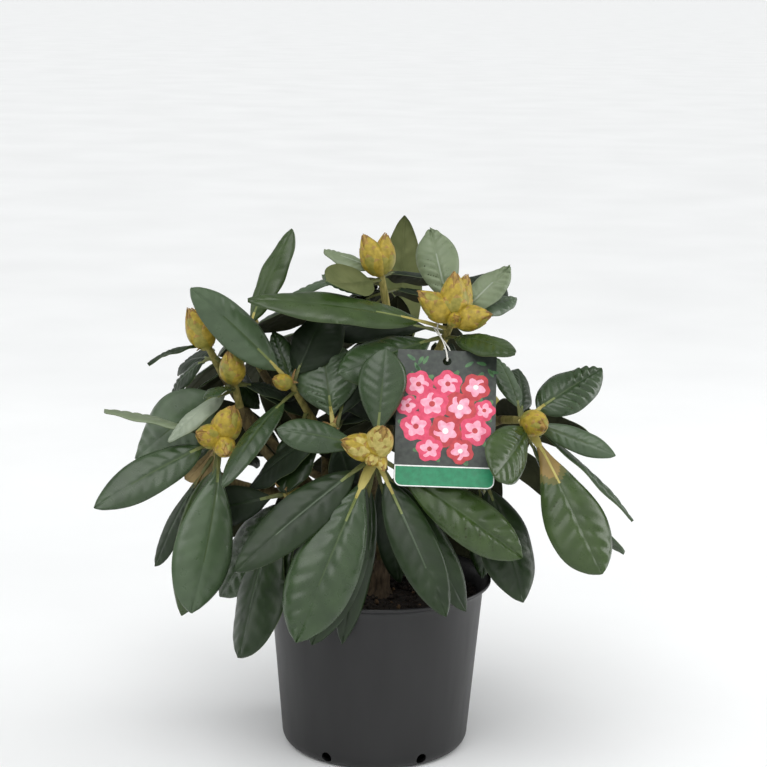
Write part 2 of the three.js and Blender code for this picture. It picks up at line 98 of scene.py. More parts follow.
def add_noise(tree, scale, detail, stretch=(1, 1, 1)):
    """Noise by place on the object, finer with a larger scale; stretch squeezes it by axis."""
    place = tree.nodes.new("ShaderNodeTexCoord")
    mapping = tree.nodes.new("ShaderNodeMapping")
    mapping.inputs["Scale"].default_value = stretch
    grain = tree.nodes.new("ShaderNodeTexNoise")
    grain.inputs["Scale"].default_value = scale
    grain.inputs["Detail"].default_value = detail
    tree.links.new(place.outputs["Object"], mapping.inputs["Vector"])
    tree.links.new(mapping.outputs["Vector"], grain.inputs["Vector"])
    return grain.outputs["Fac"]


def ramp_of(tree, factor, *stops):
    """Colour from a ramp of (place, colour) stops."""
    ramp = tree.nodes.new("ShaderNodeValToRGB")
    while len(ramp.color_ramp.elements) < len(stops):
        ramp.color_ramp.elements.new(1)
    for element, (place, colour) in zip(ramp.color_ramp.elements, stops):
        element.position = place
        element.color = colour
    tree.links.new(factor, ramp.inputs["Fac"])
    return ramp.outputs["Color"]


def tint_by(tree, shader, factor, *stops):
    tree.links.new(ramp_of(tree, factor, *stops), shader.inputs["Base Color"])


def roughen_by(tree, shader, factor, smooth, rough):
    """Roughness that wanders between two values."""
    span = tree.nodes.new("ShaderNodeMapRange")
    span.inputs["From Min"].default_value = 0.3
    span.inputs["From Max"].default_value = 0.7
    span.inputs["To Min"].default_value = smooth
    span.inputs["To Max"].default_value = rough
    tree.links.new(factor, span.inputs["Value"])
    tree.links.new(span.outputs["Result"], shader.inputs["Roughness"])


def bump_by(tree, shader, factor, strength, depth_mm):
    """Fine relief in the shading, for grain too small to model."""
    bump = tree.nodes.new("ShaderNodeBump")
    bump.inputs["Strength"].default_value = strength
    bump.inputs["Distance"].default_value = depth_mm * MM
    tree.links.new(factor, bump.inputs["Height"])
    tree.links.new(bump.outputs["Normal"], shader.inputs["Normal"])


print("finish helpers ready")

# %% Floor
floor_finish, tree, shader = new_finish("pale_floor")
cloud = add_noise(tree, 3, 4)
tint_by(tree, shader, cloud, (0.3, srgb(238, 239, 239)), (0.7, srgb(243, 244, 244)))
roughen_by(tree, shader, cloud, 0.7, 0.85)
shader.inputs["Specular IOR Level"].default_value = 0.1

floor_reach = 120
bpy.ops.mesh.primitive_circle_add(vertices=96, radius=floor_reach, fill_type="NGON")
floor = bpy.context.object
floor.name = "floor"
floor.data.materials.append(floor_finish)
print("floor radius", floor_reach, "m")

# %% [markdown]
# Light
#
# Leathery leaves show their form by broad, soft reflections, so the light must be large. Two sun
# lamps with very wide discs, one high on the left and one low in front, do the work of big soft
# boxes that light the whole floor evenly. A dim surround keeps the shade inside the crown deep
# but not black, and an upright panel on each side draws the pale bands on the dark pot.

# %% Side panels
def add_panel(name, place, aim, width, height, power):
    """A rectangular soft light at a place, turned to face a point."""
    data = bpy.data.lights.new(name, "AREA")
    data.shape = "RECTANGLE"
    data.size = width
    data.size_y = height
    data.energy = power
    panel = bpy.data.objects.new(name, data)
    panel.location = place
    panel.rotation_euler = (Vector(aim) - Vector(place)).to_track_quat("-Z", "Y").to_euler()
    bpy.context.scene.collection.objects.link(panel)


crown = (0, 0, 0.28)
add_panel("panel_left", (-1.7, 0.2, 0.7), crown, 0.8, 1.4, 3.5)
add_panel("panel_right", (1.7, 0.2, 0.7), crown, 0.8, 1.4, 13)
print("two upright panels, 0.8 by 1.4 m, aimed at the crown")

# %% Wide suns
def add_sun(name, way, strength, width):
    """A far light that shines along a way, from a disc that is some degrees wide."""
    data = bpy.data.lights.new(name, "SUN")
    data.energy = strength
    data.angle = math.radians(width)
    lamp = bpy.data.objects.new(name, data)
    lamp.rotation_euler = Vector(way).to_track_quat("-Z", "Y").to_euler()
    bpy.context.scene.collection.objects.link(lamp)


add_sun("soft_key", (0.25, 0.5, -1), 1.5, 62)
add_sun("soft_front", (-0.25, 1, -0.6), 1.0, 90)
print("two suns with discs 62 and 90 degrees wide")

# %% Surround
world = bpy.data.worlds.new("surround")
world.use_nodes = True
sky = world.node_tree.nodes["Background"]
direction = world.node_tree.nodes.new("ShaderNodeTexCoord")
height = world.node_tree.nodes.new("ShaderNodeSeparateXYZ")
world.node_tree.links.new(direction.outputs["Generated"], height.inputs["Vector"])
glow = ramp_of(world.node_tree, height.outputs["Z"], (0, srgb(214, 215, 216)), (1, srgb(250, 251, 252)))
world.node_tree.links.new(glow, sky.inputs["Color"])
sky_strength = 0.53
sky.inputs["Strength"].default_value = sky_strength
bpy.context.scene.world = world
bpy.context.scene.view_settings.view_transform = "Standard"
print("surround of strength", sky_strength, "that brightens overhead")

# %% [markdown]
# Chance and headings
#
# The shrub looks grown because small things differ from leaf to leaf. A random generator would
# change every later leaf when one is left out, so each number here comes from its own name
# instead: the same whorl, the same leaf and the same word always give the same share. A heading
# is a pair of angles as seen from the front: a clock angle from straight up, and how far the
# heading leans towards the viewer.

# %% Chance and headings
def chance(*keys):
    """A number from 0 to 1 that depends only on its keys."""
    state = 2166136261
    for letter in "/".join(str(key) for key in keys):
        state = ((state ^ ord(letter)) * 16777619) & 0xFFFFFFFF
    state = ((state ^ (state >> 15)) * 2246822519) & 0xFFFFFFFF
    return (state ^ (state >> 13)) / 2 ** 32


def between(low, high, *keys):
    return low + (high - low) * chance(*keys)


def unit(vector):
    return vector / np.linalg.norm(vector)


def heading(clock, toward):
    clock, toward = math.radians(clock), math.radians(toward)
    flat = math.cos(toward)
    return np.array([math.sin(clock) * flat, -math.sin(toward), math.cos(clock) * flat])


def heading_of(way):
    return math.degrees(math.atan2(way[0], way[2])), -math.degrees(math.asin(way[1]))


def turned(vector, axis, degrees):
    """A vector turned about a unit axis."""
    angle = math.radians(degrees)
    along = axis * np.dot(axis, vector) * (1 - math.cos(angle))
    return vector * math.cos(angle) + np.cross(axis, vector) * math.sin(angle) + along


def across_of(way):
    return np.array([0.0, 1, 0]) if abs(way[1]) < 0.7 else np.array([1.0, 0, 0])


def splay(axis, turn, opening):
    """A direction that leans away from an axis by opening, on the side that turn gives."""
    outward = turned(unit(np.cross(across_of(axis), axis)), axis, turn)
    return axis * math.cos(math.radians(opening)) + outward * math.sin(math.radians(opening))


print("first share of the front whorl:", round(chance("front", 0, "arch"), 4))

# %% [markdown]
# Piles of faces
#
# A whorl holds thousands of faces that all follow one rule, so they are worked out as number
# arrays and joined into one mesh, which is far quicker than one Blender object per leaf. A pile
# gathers points, faces and the finish of each face. Two shapes fill almost every pile: a thin
# closed sheet, for blades and bud scales, and a tube, for stems and cord. Faces are numbered
# so that they all look outward.

# %% Piles
class Pile:
    """Points and faces of many small things that become one mesh. A fourth corner of -1
    marks a triangle."""

    def __init__(self):
        self.points, self.faces, self.finishes, self.count = [], [], [], 0

    def add(self, points, faces, finish):
        """finish is one number for all faces, or one for each."""
        faces = np.asarray(faces)
        self.points.append(np.asarray(points, float).reshape(-1, 3))
        self.faces.append(np.where(faces < 0, -1, faces + self.count))
        self.finishes.append(np.broadcast_to(finish, len(faces)))
        self.count += len(self.points[-1])


print("an empty pile has", Pile().count, "points")

# %% Sheets and tubes
def quads(index):
    """Faces of a grid of point numbers."""
    corners = index[:-1, :-1], index[:-1, 1:], index[1:, 1:], index[1:, :-1]
    return np.stack([corner.ravel() for corner in corners], 1)


def closed_sheet(top, under):
    """Points of two grids, and the faces over the top, underneath and round the edge."""
    rows, columns = top.shape[:2]
    index = np.arange(rows * columns).reshape(rows, columns)
    ring = np.concatenate([index[0], index[1:, -1], index[-1, -2::-1], index[-2:0:-1, 0]])
    after = np.roll(ring, -1)
    edge = np.stack([ring, ring + index.size, after + index.size, after], 1)
    points = np.concatenate([top.reshape(-1, 3), under.reshape(-1, 3)])
    return points, quads(index), quads(index)[:, ::-1] + index.size, edge


def tube(rings):
    """Points and faces of a closed skin over rings, with a fan over each end."""
    count, sides = rings.shape[:2]
    index = np.arange(count * sides).reshape(count, sides)
    skin = quads(np.concatenate([index, index[:, :1]], 1))
    first, last = index.size, index.size + 1
    none = np.full(sides, -1)
    start = np.stack([np.full(sides, first), np.roll(index[0], -1), index[0], none], 1)
    end = np.stack([np.full(sides, last), index[-1], np.roll(index[-1], -1), none], 1)
    points = np.concatenate([rings.reshape(-1, 3), [rings[0].mean(0)], [rings[-1].mean(0)]])
    return points, np.concatenate([skin, start, end])


print("a grid of 3 by 3 points has", len(quads(np.arange(9).reshape(3, 3))), "faces")

# %% Pieces
triangles = 0


def make_piece(name, pile, finishes, nodes=(), crease=50):
    """One Blender object from a pile, given in millimetres, riding on the plant's body."""
    global triangles
    faces = np.concatenate(pile.faces)
    corners = np.where(faces[:, 3] < 0, 3, 4)
    mesh = bpy.data.meshes.new(name)
    mesh.vertices.add(pile.count)
    mesh.vertices.foreach_set("co", (np.concatenate(pile.points) * MM).astype(np.float32).ravel())
    mesh.loops.add(int(corners.sum()))
    mesh.loops.foreach_set("vertex_index", faces[faces >= 0].astype(np.int32))
    mesh.polygons.add(len(faces))
    mesh.polygons.foreach_set("loop_start", (np.cumsum(corners) - corners).astype(np.int32))
    mesh.polygons.foreach_set("material_index", np.concatenate(pile.finishes).astype(np.int32))
    mesh.polygons.foreach_set("use_smooth", np.ones(len(faces), bool))
    mesh.update(calc_edges=True)
    mesh.set_sharp_from_angle(angle=math.radians(crease))
    for finish in finishes:
        mesh.materials.append(finish)
    piece = bpy.data.objects.new(name, mesh)
    bpy.context.scene.collection.objects.link(piece)
    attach(piece, "root")
    if nodes:
        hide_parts(*nodes)
    triangles += int((corners - 2).sum())
    return piece


print("pieces ride on root;", triangles, "triangles so far")

# %% Smooth curves
def curve_through(pairs, places):
    """Values at places on a smooth curve through (place, value) pairs."""
    xs, ys = np.array(pairs, float).T
    slopes = np.gradient(ys, xs)
    low = np.clip(np.searchsorted(xs, places) - 1, 0, len(xs) - 2)
    wide = xs[low + 1] - xs[low]
    u = (places - xs[low]) / wide
    rise = u * u * (3 - 2 * u)
    bends = wide * (slopes[low] * u * (1 - u) ** 2 - slopes[low + 1] * u * u * (1 - u))
    return ys[low] * (1 - rise) + ys[low + 1] * rise + bends


def soft_step(low, high, values):
    share = np.clip((values - low) / (high - low), 0, 1)
    return share * share * (3 - 2 * share)


print("half way up to 1 the smooth curve is at", curve_through([(0, 0), (1, 1), (2, 0)], np.array([0.5])))

# %% [markdown]
# The pot
#
# The pot is thin black plastic, turned in one piece with a lip that flares at the rim. A lathe
# is the natural way to make it: a profile is drawn once and swept round. The solids do so in 36
# steps; here it is swept in 144, with softer corners, so the outline is smooth. The six drain
# holes in the lower corner are cut by a Boolean modifier, which is then applied.

# %% Pot finish
pot_finish, tree, shader = new_finish("black_plastic")
haze = add_noise(tree, 26, 6, (1, 1, 0.35))
tint_by(tree, shader, haze, (0.35, srgb(15, 15, 16)), (0.72, srgb(24, 24, 25)))
roughen_by(tree, shader, add_noise(tree, 55, 5, (1, 1, 0.2)), 0.4, 0.54)
bump_by(tree, shader, add_noise(tree, 2600, 2), 0.12, 0.12)
print("black plastic with a haze of dust and a fine moulded grain")

# %% Pot sizes
POT_HEIGHT = 143
POT_LIP = 140
POT_RIM = 95
POT_NECK = 88
POT_FOOT = 78
POT_FLAT = 65
POT_CORNER = 13
POT_SHOULDER = 128
POT_WALL = 2
POT_FLOOR = 3
POT_CREASE = 35
pot_sides = 144
print("pot", POT_HEIGHT, "mm high and", 2 * POT_RIM, "mm across its rim")

# %% Lathe helpers
def bent(start, control, end, steps):
    """Points on a quadratic curve, without its last one."""
    share = np.linspace(0, 1, steps, endpoint=False)[:, None]
    start, control, end = (np.array(point, float) for point in (start, control, end))
    return (1 - share) ** 2 * start + 2 * share * (1 - share) * control + share ** 2 * end


def turned_skin(profile, sides):
    """Rings of a profile of (radius, height) pairs, swept round the upright axis."""
    angle = np.linspace(0, 2 * math.pi, sides, endpoint=False)
    radius, height = np.array(profile).T
    across = radius[:, None] * np.cos(angle), radius[:, None] * np.sin(angle)
    return np.stack([*across, np.broadcast_to(height[:, None], across[0].shape)], 2)


print("lathe helpers ready")

# %% Pot wall
inner_foot = POT_FOOT - POT_WALL
inner_neck = POT_NECK - POT_WALL
half_way = (POT_CORNER + POT_SHOULDER) / 2
middle = (POT_FOOT + POT_NECK) / 2
pot_profile = np.concatenate([
    [(0.5, 0)],
    bent((POT_FLAT, 0), (POT_FOOT, 0), (POT_FOOT, POT_CORNER), 9),
    bent((POT_FOOT, POT_CORNER), (middle, half_way), (POT_NECK, POT_SHOULDER), 12),
    bent((POT_NECK, POT_SHOULDER), (POT_NECK, POT_LIP - 2), (POT_RIM - 1, POT_LIP), 9),
    bent((POT_RIM - 1, POT_LIP), (POT_RIM, POT_LIP + 0.2), (POT_RIM, POT_LIP + 1.5), 3),
    bent((POT_RIM, POT_LIP + 1.5), (POT_RIM, POT_HEIGHT), (POT_RIM - 1, POT_HEIGHT), 4),
    bent((POT_RIM - 1, POT_HEIGHT), (POT_RIM - 2, POT_HEIGHT), (POT_RIM - 2.4, POT_LIP + 2.4), 3),
    bent((POT_RIM - 2.4, POT_LIP + 2.4), (POT_NECK, POT_LIP), (inner_neck, POT_SHOULDER), 9),
    bent((inner_neck, POT_SHOULDER), (middle - POT_WALL, half_way), (inner_foot, POT_CORNER), 8),
    bent((inner_foot, POT_CORNER), (inner_foot, POT_FLOOR), (POT_FLAT, POT_FLOOR), 6),
    [(POT_FLAT, POT_FLOOR), (0.5, POT_FLOOR)],
])
pile = Pile()
pile.add(*tube(turned_skin(pot_profile, pot_sides)), 0)
pot = make_piece("pot_wall", pile, [pot_finish], ["pot"], crease=POT_CREASE)
print("pot wall:", len(pot.data.polygons), "faces")

# %% Drain holes
drain_count = 6
drain_radius = 4.5
drain_height = 8
bpy.ops.mesh.primitive_cylinder_add(vertices=24, radius=drain_radius * MM, depth=0.03)
drill = bpy.context.object
for order in range(drain_count):
    angle = (order + 0.5) / drain_count * 2 * math.pi
    out = Vector((math.sin(angle), math.cos(angle), 0))
    place = (out * POT_FOOT + Vector((0, 0, drain_height))) * MM
    drill.matrix_world = Matrix.Translation(place) @ out.to_track_quat("Z", "Y").to_matrix().to_4x4()
    cut = pot.modifiers.new("drain", "BOOLEAN")
    cut.object = drill
    cut.operation = "DIFFERENCE"
    bpy.context.view_layer.update()
    drained = bpy.data.meshes.new_from_object(pot.evaluated_get(bpy.context.evaluated_depsgraph_get()))
    pot.modifiers.clear()
    pot.data = drained
bpy.data.objects.remove(drill)
pot.data.set_sharp_from_angle(angle=math.radians(POT_CREASE))
print("pot with drain holes:", len(pot.data.polygons), "faces")

# %% [markdown]
# The soil
#
# Peaty compost fills the pot to a little below the rim. It is almost black, crumbly and uneven.
# A flat disc with a bump map would look like painted paper where the rim shows it edge on, so the
# surface is a real grid of points, raised by three sizes of noise. Loose crumbs and a few paler
# chips of bark are strewn on it.

# %% Soil finishes
def soil_tint(name, dark, mid, light):
    finish, tree, shader = new_finish(name)
    crumble = add_noise(tree, 420, 5)
    tint_by(tree, shader, crumble, (0.3, dark), (0.55, mid), (0.8, light))
    bump_by(tree, shader, crumble, 0.8, 1.2)
    shader.inputs["Roughness"].default_value = 0.95
    return finish


peat = soil_tint("peat_compost", srgb(15, 12, 9), srgb(36, 27, 20), srgb(64, 50, 37))
chips = soil_tint("bark_chips", srgb(52, 38, 24), srgb(92, 70, 46), srgb(132, 106, 72))
print("two finishes: peat and chips of bark")

# %% Soil bed
SOIL_TOP = 127
soil_low = POT_FLOOR + 0.3
soil_reach = 85.6
soil_rings = 44
soil_sides = 132
soil_body = [(0.5, soil_low), (52, soil_low), (inner_foot - 0.3, 16), (soil_reach, SOIL_TOP - 3)]
soil_face = [(soil_reach * (1 - 0.99 * ring / soil_rings), SOIL_TOP) for ring in range(soil_rings + 1)]
soil_skin = turned_skin(soil_body + soil_face, soil_sides)
for ring in soil_skin[len(soil_body):-1]:
    for point in ring:
        lump = noise.noise(Vector(point) * 0.06) * 2.2 + noise.noise(Vector(point) * 0.31) * 1.6
        point[2] += lump + noise.noise(Vector(point) * 0.9) * 0.7
pile = Pile()
pile.add(*tube(soil_skin), 0)
print("soil heaves by", round(float(np.ptp(soil_skin[len(soil_body):-1, :, 2])), 1), "mm")

# %% Crumbs
crumb_count = 460
crumb_turn = 2.39996
crumb_reach = 80
crumb_shape = np.array([(0.35, -0.8), (0.9, -0.3), (1, 0.2), (0.5, 0.8)])
for crumb in range(crumb_count):
    angle = crumb * crumb_turn
    reach = crumb_reach * math.sqrt(chance("crumb", crumb, "reach"))
    size = between(0.8, 2.6, "crumb", crumb, "size")
    rings = turned_skin(crumb_shape * size, 6)
    rings *= [[between(0.7, 1.5, "crumb", crumb, axis) for axis in "xyz"]]
    rings += [math.cos(angle) * reach, math.sin(angle) * reach, SOIL_TOP + 0.4 * size]
    pile.add(*tube(rings), int(crumb % 9 == 0))
make_piece("soil_fill", pile, [peat, chips], ["soil"], crease=80)
print("soil:", crumb_count, "crumbs,", triangles, "triangles so far")

# %% [markdown]
# The whorls
#
# A rhododendron carries its leaves in whorls at the ends of its shoots. The table gives each
# whorl's tip and axis, the limb it leaves, the length of green stem, its buds as clock, toward and
# size, and its leaves as clock, toward and length, with the drop below the tip, roll and breadth
# where they matter. More leaves on hidden sides follow the golden angle, as on a real shoot. These
# are the numbers behind the solids, so every leaf lands on its own solid.

# %% Whorl table
BOUGHS = {
    "bough_left": dict(at=0.62, fork=(-50, -20, 214), axis=(-55, 15)),
    "bough_right": dict(at=0.76, fork=(66, -14, 206), axis=(52, 10)),
    "bough_back": dict(at=0.88, fork=(-4, 54, 214), axis=(0, -50)),
    "bough_centre": dict(at=1, fork=(20, 2, 252), axis=(6, 0)),
}
WHORLS = {
    "front": dict(
        tip=(-2, -97, 273), axis=(5, 55), limb="trunk", at=0.5, stem=40, more=0, turn=300,
        buds=[(13, 47, 1.15), (298, 40, 1.1), (228, 75, 0.7), (150, 50, 0.6)],
        leaves=[
            (204, 26, 157, 16, 0, 0.95), (5, -18, 81, 4, 0, 1.42), (285, 10, 80, 5, 0, 0.95),
            (153, 25, 137, 15, 0, 0.75), (123, 9, 139, 12, 0, 0.85), (233, 22, 142, 14, 0, 0.72),
            (198, 11, 154, 18, 0, 0.85), (181, 5, 150, 20, 0, 0.5), (148, 8, 140, 18, 0, 0.7),
            (169, -18, 120, 20, 0, 0.6)]),
    "top_right": dict(
        tip=(59, -25, 366), axis=(20, 35), limb="bough_centre", at=0.92, stem=42, more=2, turn=320,
        buds=[(309, 20, 1.15), (1, 15, 1.25), (17, -10, 1.1), (74, 35, 1.1), (23, 75, 0.7)],
        leaves=[
            (279, 9, 164, 15, 8, 0.7), (345, -38, 88, 6, -25, 1.05), (47, -24, 74, 14),
            (70, -34, 75, 6, 0, 0.8), (88, 53, 88, 26, 15, 0.9), (256, 40, 103, 24, 0, 1.15)]),
    "right": dict(
        tip=(120, -55, 289), axis=(70, 58), limb="bough_right", at=1, stem=38, more=0, turn=0,
        buds=[(79, 72, 1.1)],
        leaves=[
            (151, 26, 138, 10, 10, 1.05), (226, 58, 80, 2, 0, 1.45), (61, -26, 81, 8, -40, 1.45),
            (107, 19, 79, 10, 0, 0.75), (131, 7, 119, 10, 300, 0.5), (142, -5, 144, 14, 90, 0.5),
            (335, -44, 66, 14, 5, 1.1), (0, -58, 60, 14, 0, 1.6)]),
    "left": dict(
        tip=(-125, -45, 270), axis=(20, 40), limb="bough_left", at=1, stem=36, more=1, turn=85,
        buds=[(21, 35, 1.25), (303, 57, 1.05), (130, 74, 0.95)],
        leaves=[
            (244, 23, 116, 4, 0, 0.92), (188, 27, 139, 10, -12, 1.1), (280, -18, 104, 8, 42, 0.8),
            (227, -30, 66, 8, 0, 0.35), (207, -9, 116, 24, 30, 0.5), (192, 5, 145, 10, 0, 0.8),
            (218, -18, 54, 8, 170, 1.2)]),
    "inner_left": dict(
        tip=(-73, -25, 312), axis=(335, 35), limb="bough_left", at=0.9, stem=66, more=4, turn=25,
        buds=[(300, 50, 0.7)],
        leaves=[
            (316, 12, 116, 6, 0, 0.8), (222, 41, 118, 14, 0, 0.6), (334, -39, 60, 14),
            (24, -34, 74, 8, 0, 1.6), (196, 38, 76, 40, 0, 1.15)]),
    "mid_left": dict(
        tip=(-119, -15, 312), axis=(350, 25), limb="bough_left", at=0.84, stem=30, more=1, turn=45,
        buds=[(357, 35, 1.1)],
        leaves=[
            (229, -18, 118, 6, -45, 1.42), (276, 64, 50, 12, 0, 0.8), (236, 40, 78, 12, 0, 0.75),
            (100, -25, 55, 8, 0, 1.3)]),
    "upper_left": dict(
        tip=(-141, -5, 337), axis=(338, 32), limb="bough_left", at=0.75, stem=36, more=2, turn=178,
        buds=[(337, 20, 1.2)],
        leaves=[(255, 23, 52, 1, 30, 0.75), (223, -31, 66, 15, 0, 0.9), (143, -20, 66, 12, 0, 1.1)]),
    "top": dict(
        tip=(-1, 25, 396), axis=(350, 10), limb="bough_centre", at=1, stem=36, more=4, turn=180,
        buds=[(337, 14, 1.15), (5, 8, 1.05)],
        leaves=[
            (109, -51, 100, 20, 0, 1.2), (290, -13, 52, 4, -4, 1.2), (276, 50, 70, 8, 140, 1.5),
            (273, -31, 60, 14, 0, 0.9), (258, -14, 80, 10, 0, 0.7), (217, -34, 115, 24, 0, 1.2)]),
    "inner": dict(
        tip=(-37, -45, 281), axis=(350, 30), limb="bough_centre", at=0.35, stem=30, more=6, turn=15,
        buds=[],
        leaves=[
            (350, -30, 76, 6, 0, 1.95), (24, -40, 98, 10), (165, -29, 60, 10, 0, 0.9),
            (180, -55, 70, 12, 0, 1.2)]),
    "low_left": dict(
        tip=(-75, -45, 223), axis=(270, 40), limb="bough_left", at=0.6, stem=26, more=3, turn=5,
        buds=[],
        leaves=[(197, 23, 138, 6, 0, 1.3), (188, 28, 84, 9, 0, 0.9), (215, 5, 112, 14, 0, 1.3)]),
    "low_right": dict(
        tip=(87, -40, 242), axis=(90, 40), limb="bough_right", at=0.7, stem=26, more=2, turn=40,
        buds=[], leaves=[(160, 28, 112, 6, 35, 1.25), (176, 0, 90, 9, 40, 0.7)]),
    "back_left": dict(
        tip=(-117, 75, 328), axis=(325, -30), limb="bough_back", at=0.85, stem=36, more=7, turn=315,
        buds=[(325, -30, 1.1), (20, -60)], leaves=[(22, -16, 105, 4, 75, 0.8)]),
    "back_right": dict(
        tip=(100, 85, 258), axis=(60, -45), limb="bough_right", at=0.86, stem=36, more=8, turn=65,
        buds=[(60, -45, 1.1), (10, -60)], leaves=[]),
    "back": dict(
        tip=(9, 115, 275), axis=(0, -55), limb="bough_back", at=1, stem=36, more=9, turn=120,
        buds=[(0, -55, 1.1), (60, -40), (300, -45)], leaves=[(4, -24, 165, 4, -12, 0.68)]),
    "low_back_left": dict(
        tip=(-78, 62, 228), axis=(290, -45), limb="bough_back", at=0.6, stem=26, more=7, turn=50,
        buds=[], leaves=[]),
    "low_back_right": dict(
        tip=(70, 60, 212), axis=(80, -45), limb="trunk", at=0.94, stem=26, more=6, turn=205,
        buds=[], leaves=[]),
}
print(len(WHORLS), "whorls,", sum(len(whorl["leaves"]) for whorl in WHORLS.values()), "listed leaves")

# %% [markdown]
# Trunk, boughs and shoots
#
# The wood is thin, grey-brown and lightly fissured. Each limb is a tube swept along a bent line
# that leaves its parent and arrives at its whorl along the whorl's axis. A bump map alone would
# leave the edges smooth, so the rings carry the relief: noise stretched along the limb gives
# ridges, and a little swelling every few centimetres marks where an old whorl of leaves once sat.

# %% Bark finish
def bark_finish(name, dark, light):
    finish, tree, shader = new_finish(name)
    flakes = add_noise(tree, 330, 6, (1, 1, 0.3))
    tint_by(tree, shader, flakes, (0.32, dark), (0.68, light))
    roughen_by(tree, shader, flakes, 0.95, 0.75)
    bump_by(tree, shader, add_noise(tree, 900, 4, (1, 1, 0.4)), 0.5, 0.5)
    return finish


old_bark = bark_finish("old_bark", srgb(54, 43, 31), srgb(100, 84, 62))
young_bark = bark_finish("young_bark", srgb(74, 64, 38), srgb(118, 104, 64))
print("two barks: old wood and young shoots")

# %% Limb lines
limb_lines = {}


def line_points(line, shares):
    start, control, end = line
    share = shares[:, None]
    return (1 - share) ** 2 * start + 2 * share * (1 - share) * control + share ** 2 * end


def add_limb(name, start, end, axis):
    """A bent line from a start to an end that it reaches along an axis."""
    control = end - axis * 0.45 * np.linalg.norm(start - end)
    limb_lines[name] = start, control, end


trunk_top = np.array([12, 2, 172.0])
limb_lines["trunk"] = np.array([2, 0, SOIL_TOP + 0.3]), np.array([2, 0, 154.0]), trunk_top
for name, bough in BOUGHS.items():
    start = line_points(limb_lines["trunk"], np.array([bough["at"]]))[0]
    add_limb(name, start, np.array(bough["fork"], float), heading(*bough["axis"]))
for name, whorl in WHORLS.items():
    start = line_points(limb_lines[whorl["limb"]], np.array([whorl["at"]]))[0]
    axis = heading(*whorl["axis"])
    add_limb("shoot_" + name, start, np.array(whorl["tip"]) - axis * whorl["stem"], axis)
print(len(limb_lines), "limbs")

# %% Limb rings
def limb_rings(line, radius_of, sides, step_mm, relief, way=None):
    """Rings along a line, with ridges that run lengthwise."""
    rough = line_points(line, np.linspace(0, 1, 20))
    length = np.linalg.norm(np.diff(rough, axis=0), axis=1).sum()
    shares = np.linspace(0, 1, max(5, int(length / step_mm)))
    centres = line_points(line, shares)
    ways = np.gradient(centres, axis=0) if way is None else np.broadcast_to(way, centres.shape)
    across = across_of(unit(centres[-1] - centres[0]))
    angles = np.linspace(0, 2 * math.pi, sides, endpoint=False)
    rings = []
    for share, centre, ahead in zip(shares, centres, ways):
        right = unit(np.cross(across, ahead))
        up = np.cross(unit(ahead), right)
        node_swell = max(0, math.sin(share * length / 11)) ** 6
        ring = []
        for angle in angles:
            out = right * math.cos(angle) + up * math.sin(angle)
            place = Vector((*(out[:2] * 5), share * length * 0.12)) + Vector(line[0]) * 0.3
            ridge = noise.noise(place) + 0.6 * noise.noise(place * 2.3)
            ring.append(centre + out * radius_of(share) * (1 + relief * ridge + 0.07 * node_swell))
        rings.append(ring)
    return np.array(rings)


print("limb rings ready")

# %% Trunk
def trunk_radius(share):
    """A trunk that flares over the lowest part of its length."""
    return 8 - 1.5 * share + 4.5 * max(0, 1 - share / 0.3) ** 2


upright = np.array([0, 0, 1.0])
sunk_foot = np.array([2, 0, SOIL_TOP - 3.0])
trunk_line = sunk_foot, limb_lines["trunk"][1], trunk_top
trunk_rings = limb_rings(trunk_line, trunk_radius, sides=36, step_mm=1.2, relief=0.09, way=upright)
pile = Pile()
pile.add(*tube(trunk_rings), 0)
make_piece("trunk_bark", pile, [old_bark], ["trunk"], crease=70)
print("trunk:", len(trunk_rings), "rings")

# %% Boughs and shoots
def bough_radius(share):
    return 5.2 - share


def shoot_radius(share):
    return 4.2 - 0.8 * share


pile = Pile()
for name in BOUGHS:
    rings = limb_rings(limb_lines[name], bough_radius, sides=22, step_mm=1.6, relief=0.08)
    pile.add(*tube(rings), 0)
make_piece("bough_bark", pile, [old_bark], list(BOUGHS), crease=70)

pile = Pile()
for name in WHORLS:
    rings = limb_rings(limb_lines["shoot_" + name], shoot_radius, sides=16, step_mm=2, relief=0.06)
    pile.add(*tube(rings), 0)
make_piece("shoot_bark", pile, [young_bark], ["shoot_" + name for name in WHORLS], crease=70)
print("limbs:", triangles, "triangles so far")

# %% [markdown]
# Which leaves grew
#
# Where two leaves would have run into each other, the solids turn a leaf a little, or leave it
# out. Growing them blindly would put leaves where there is no solid. So for each leaf the same
# turns are tried in the same order, and the first whose rib lies close to the skin of the whorl's
# thin solid is taken. A bounding volume tree answers that for a point in a few microseconds.

# %% Leaf rules
LEAF_TURNS = [
    (0, 0), (0, 8), (0, -8), (8, 0), (-8, 0), (8, 8), (-8, -8), (8, -8), (-8, 8),
    (0, 16), (0, -16), (16, 0), (-16, 0), (16, 16), (-16, -16)]
PETIOLE_SHARE = 0.16
GOLDEN_ANGLE = 137.508
rib_tests = np.array([0.6136, 0.8488, 1])
rib_margin = 1.7


def more_leaves(name, whorl, axis):
    """Leaves that the golden angle adds on the sides that do not show."""
    listed = len(whorl["leaves"]) > 1
    rows = []
    for step in range(6 * whorl["more"]):
        opening = between(58, 102, name, step, "open")
        way = splay(axis, step * GOLDEN_ANGLE + whorl["turn"], opening)
        way[2] -= 0.75 if listed else 0.25
        way = unit(way)
        if len(rows) < whorl["more"] and (not listed or way[1] > 0.15):
            rows.append((*heading_of(way), between(88, 118, name, step, "length")))
    return rows


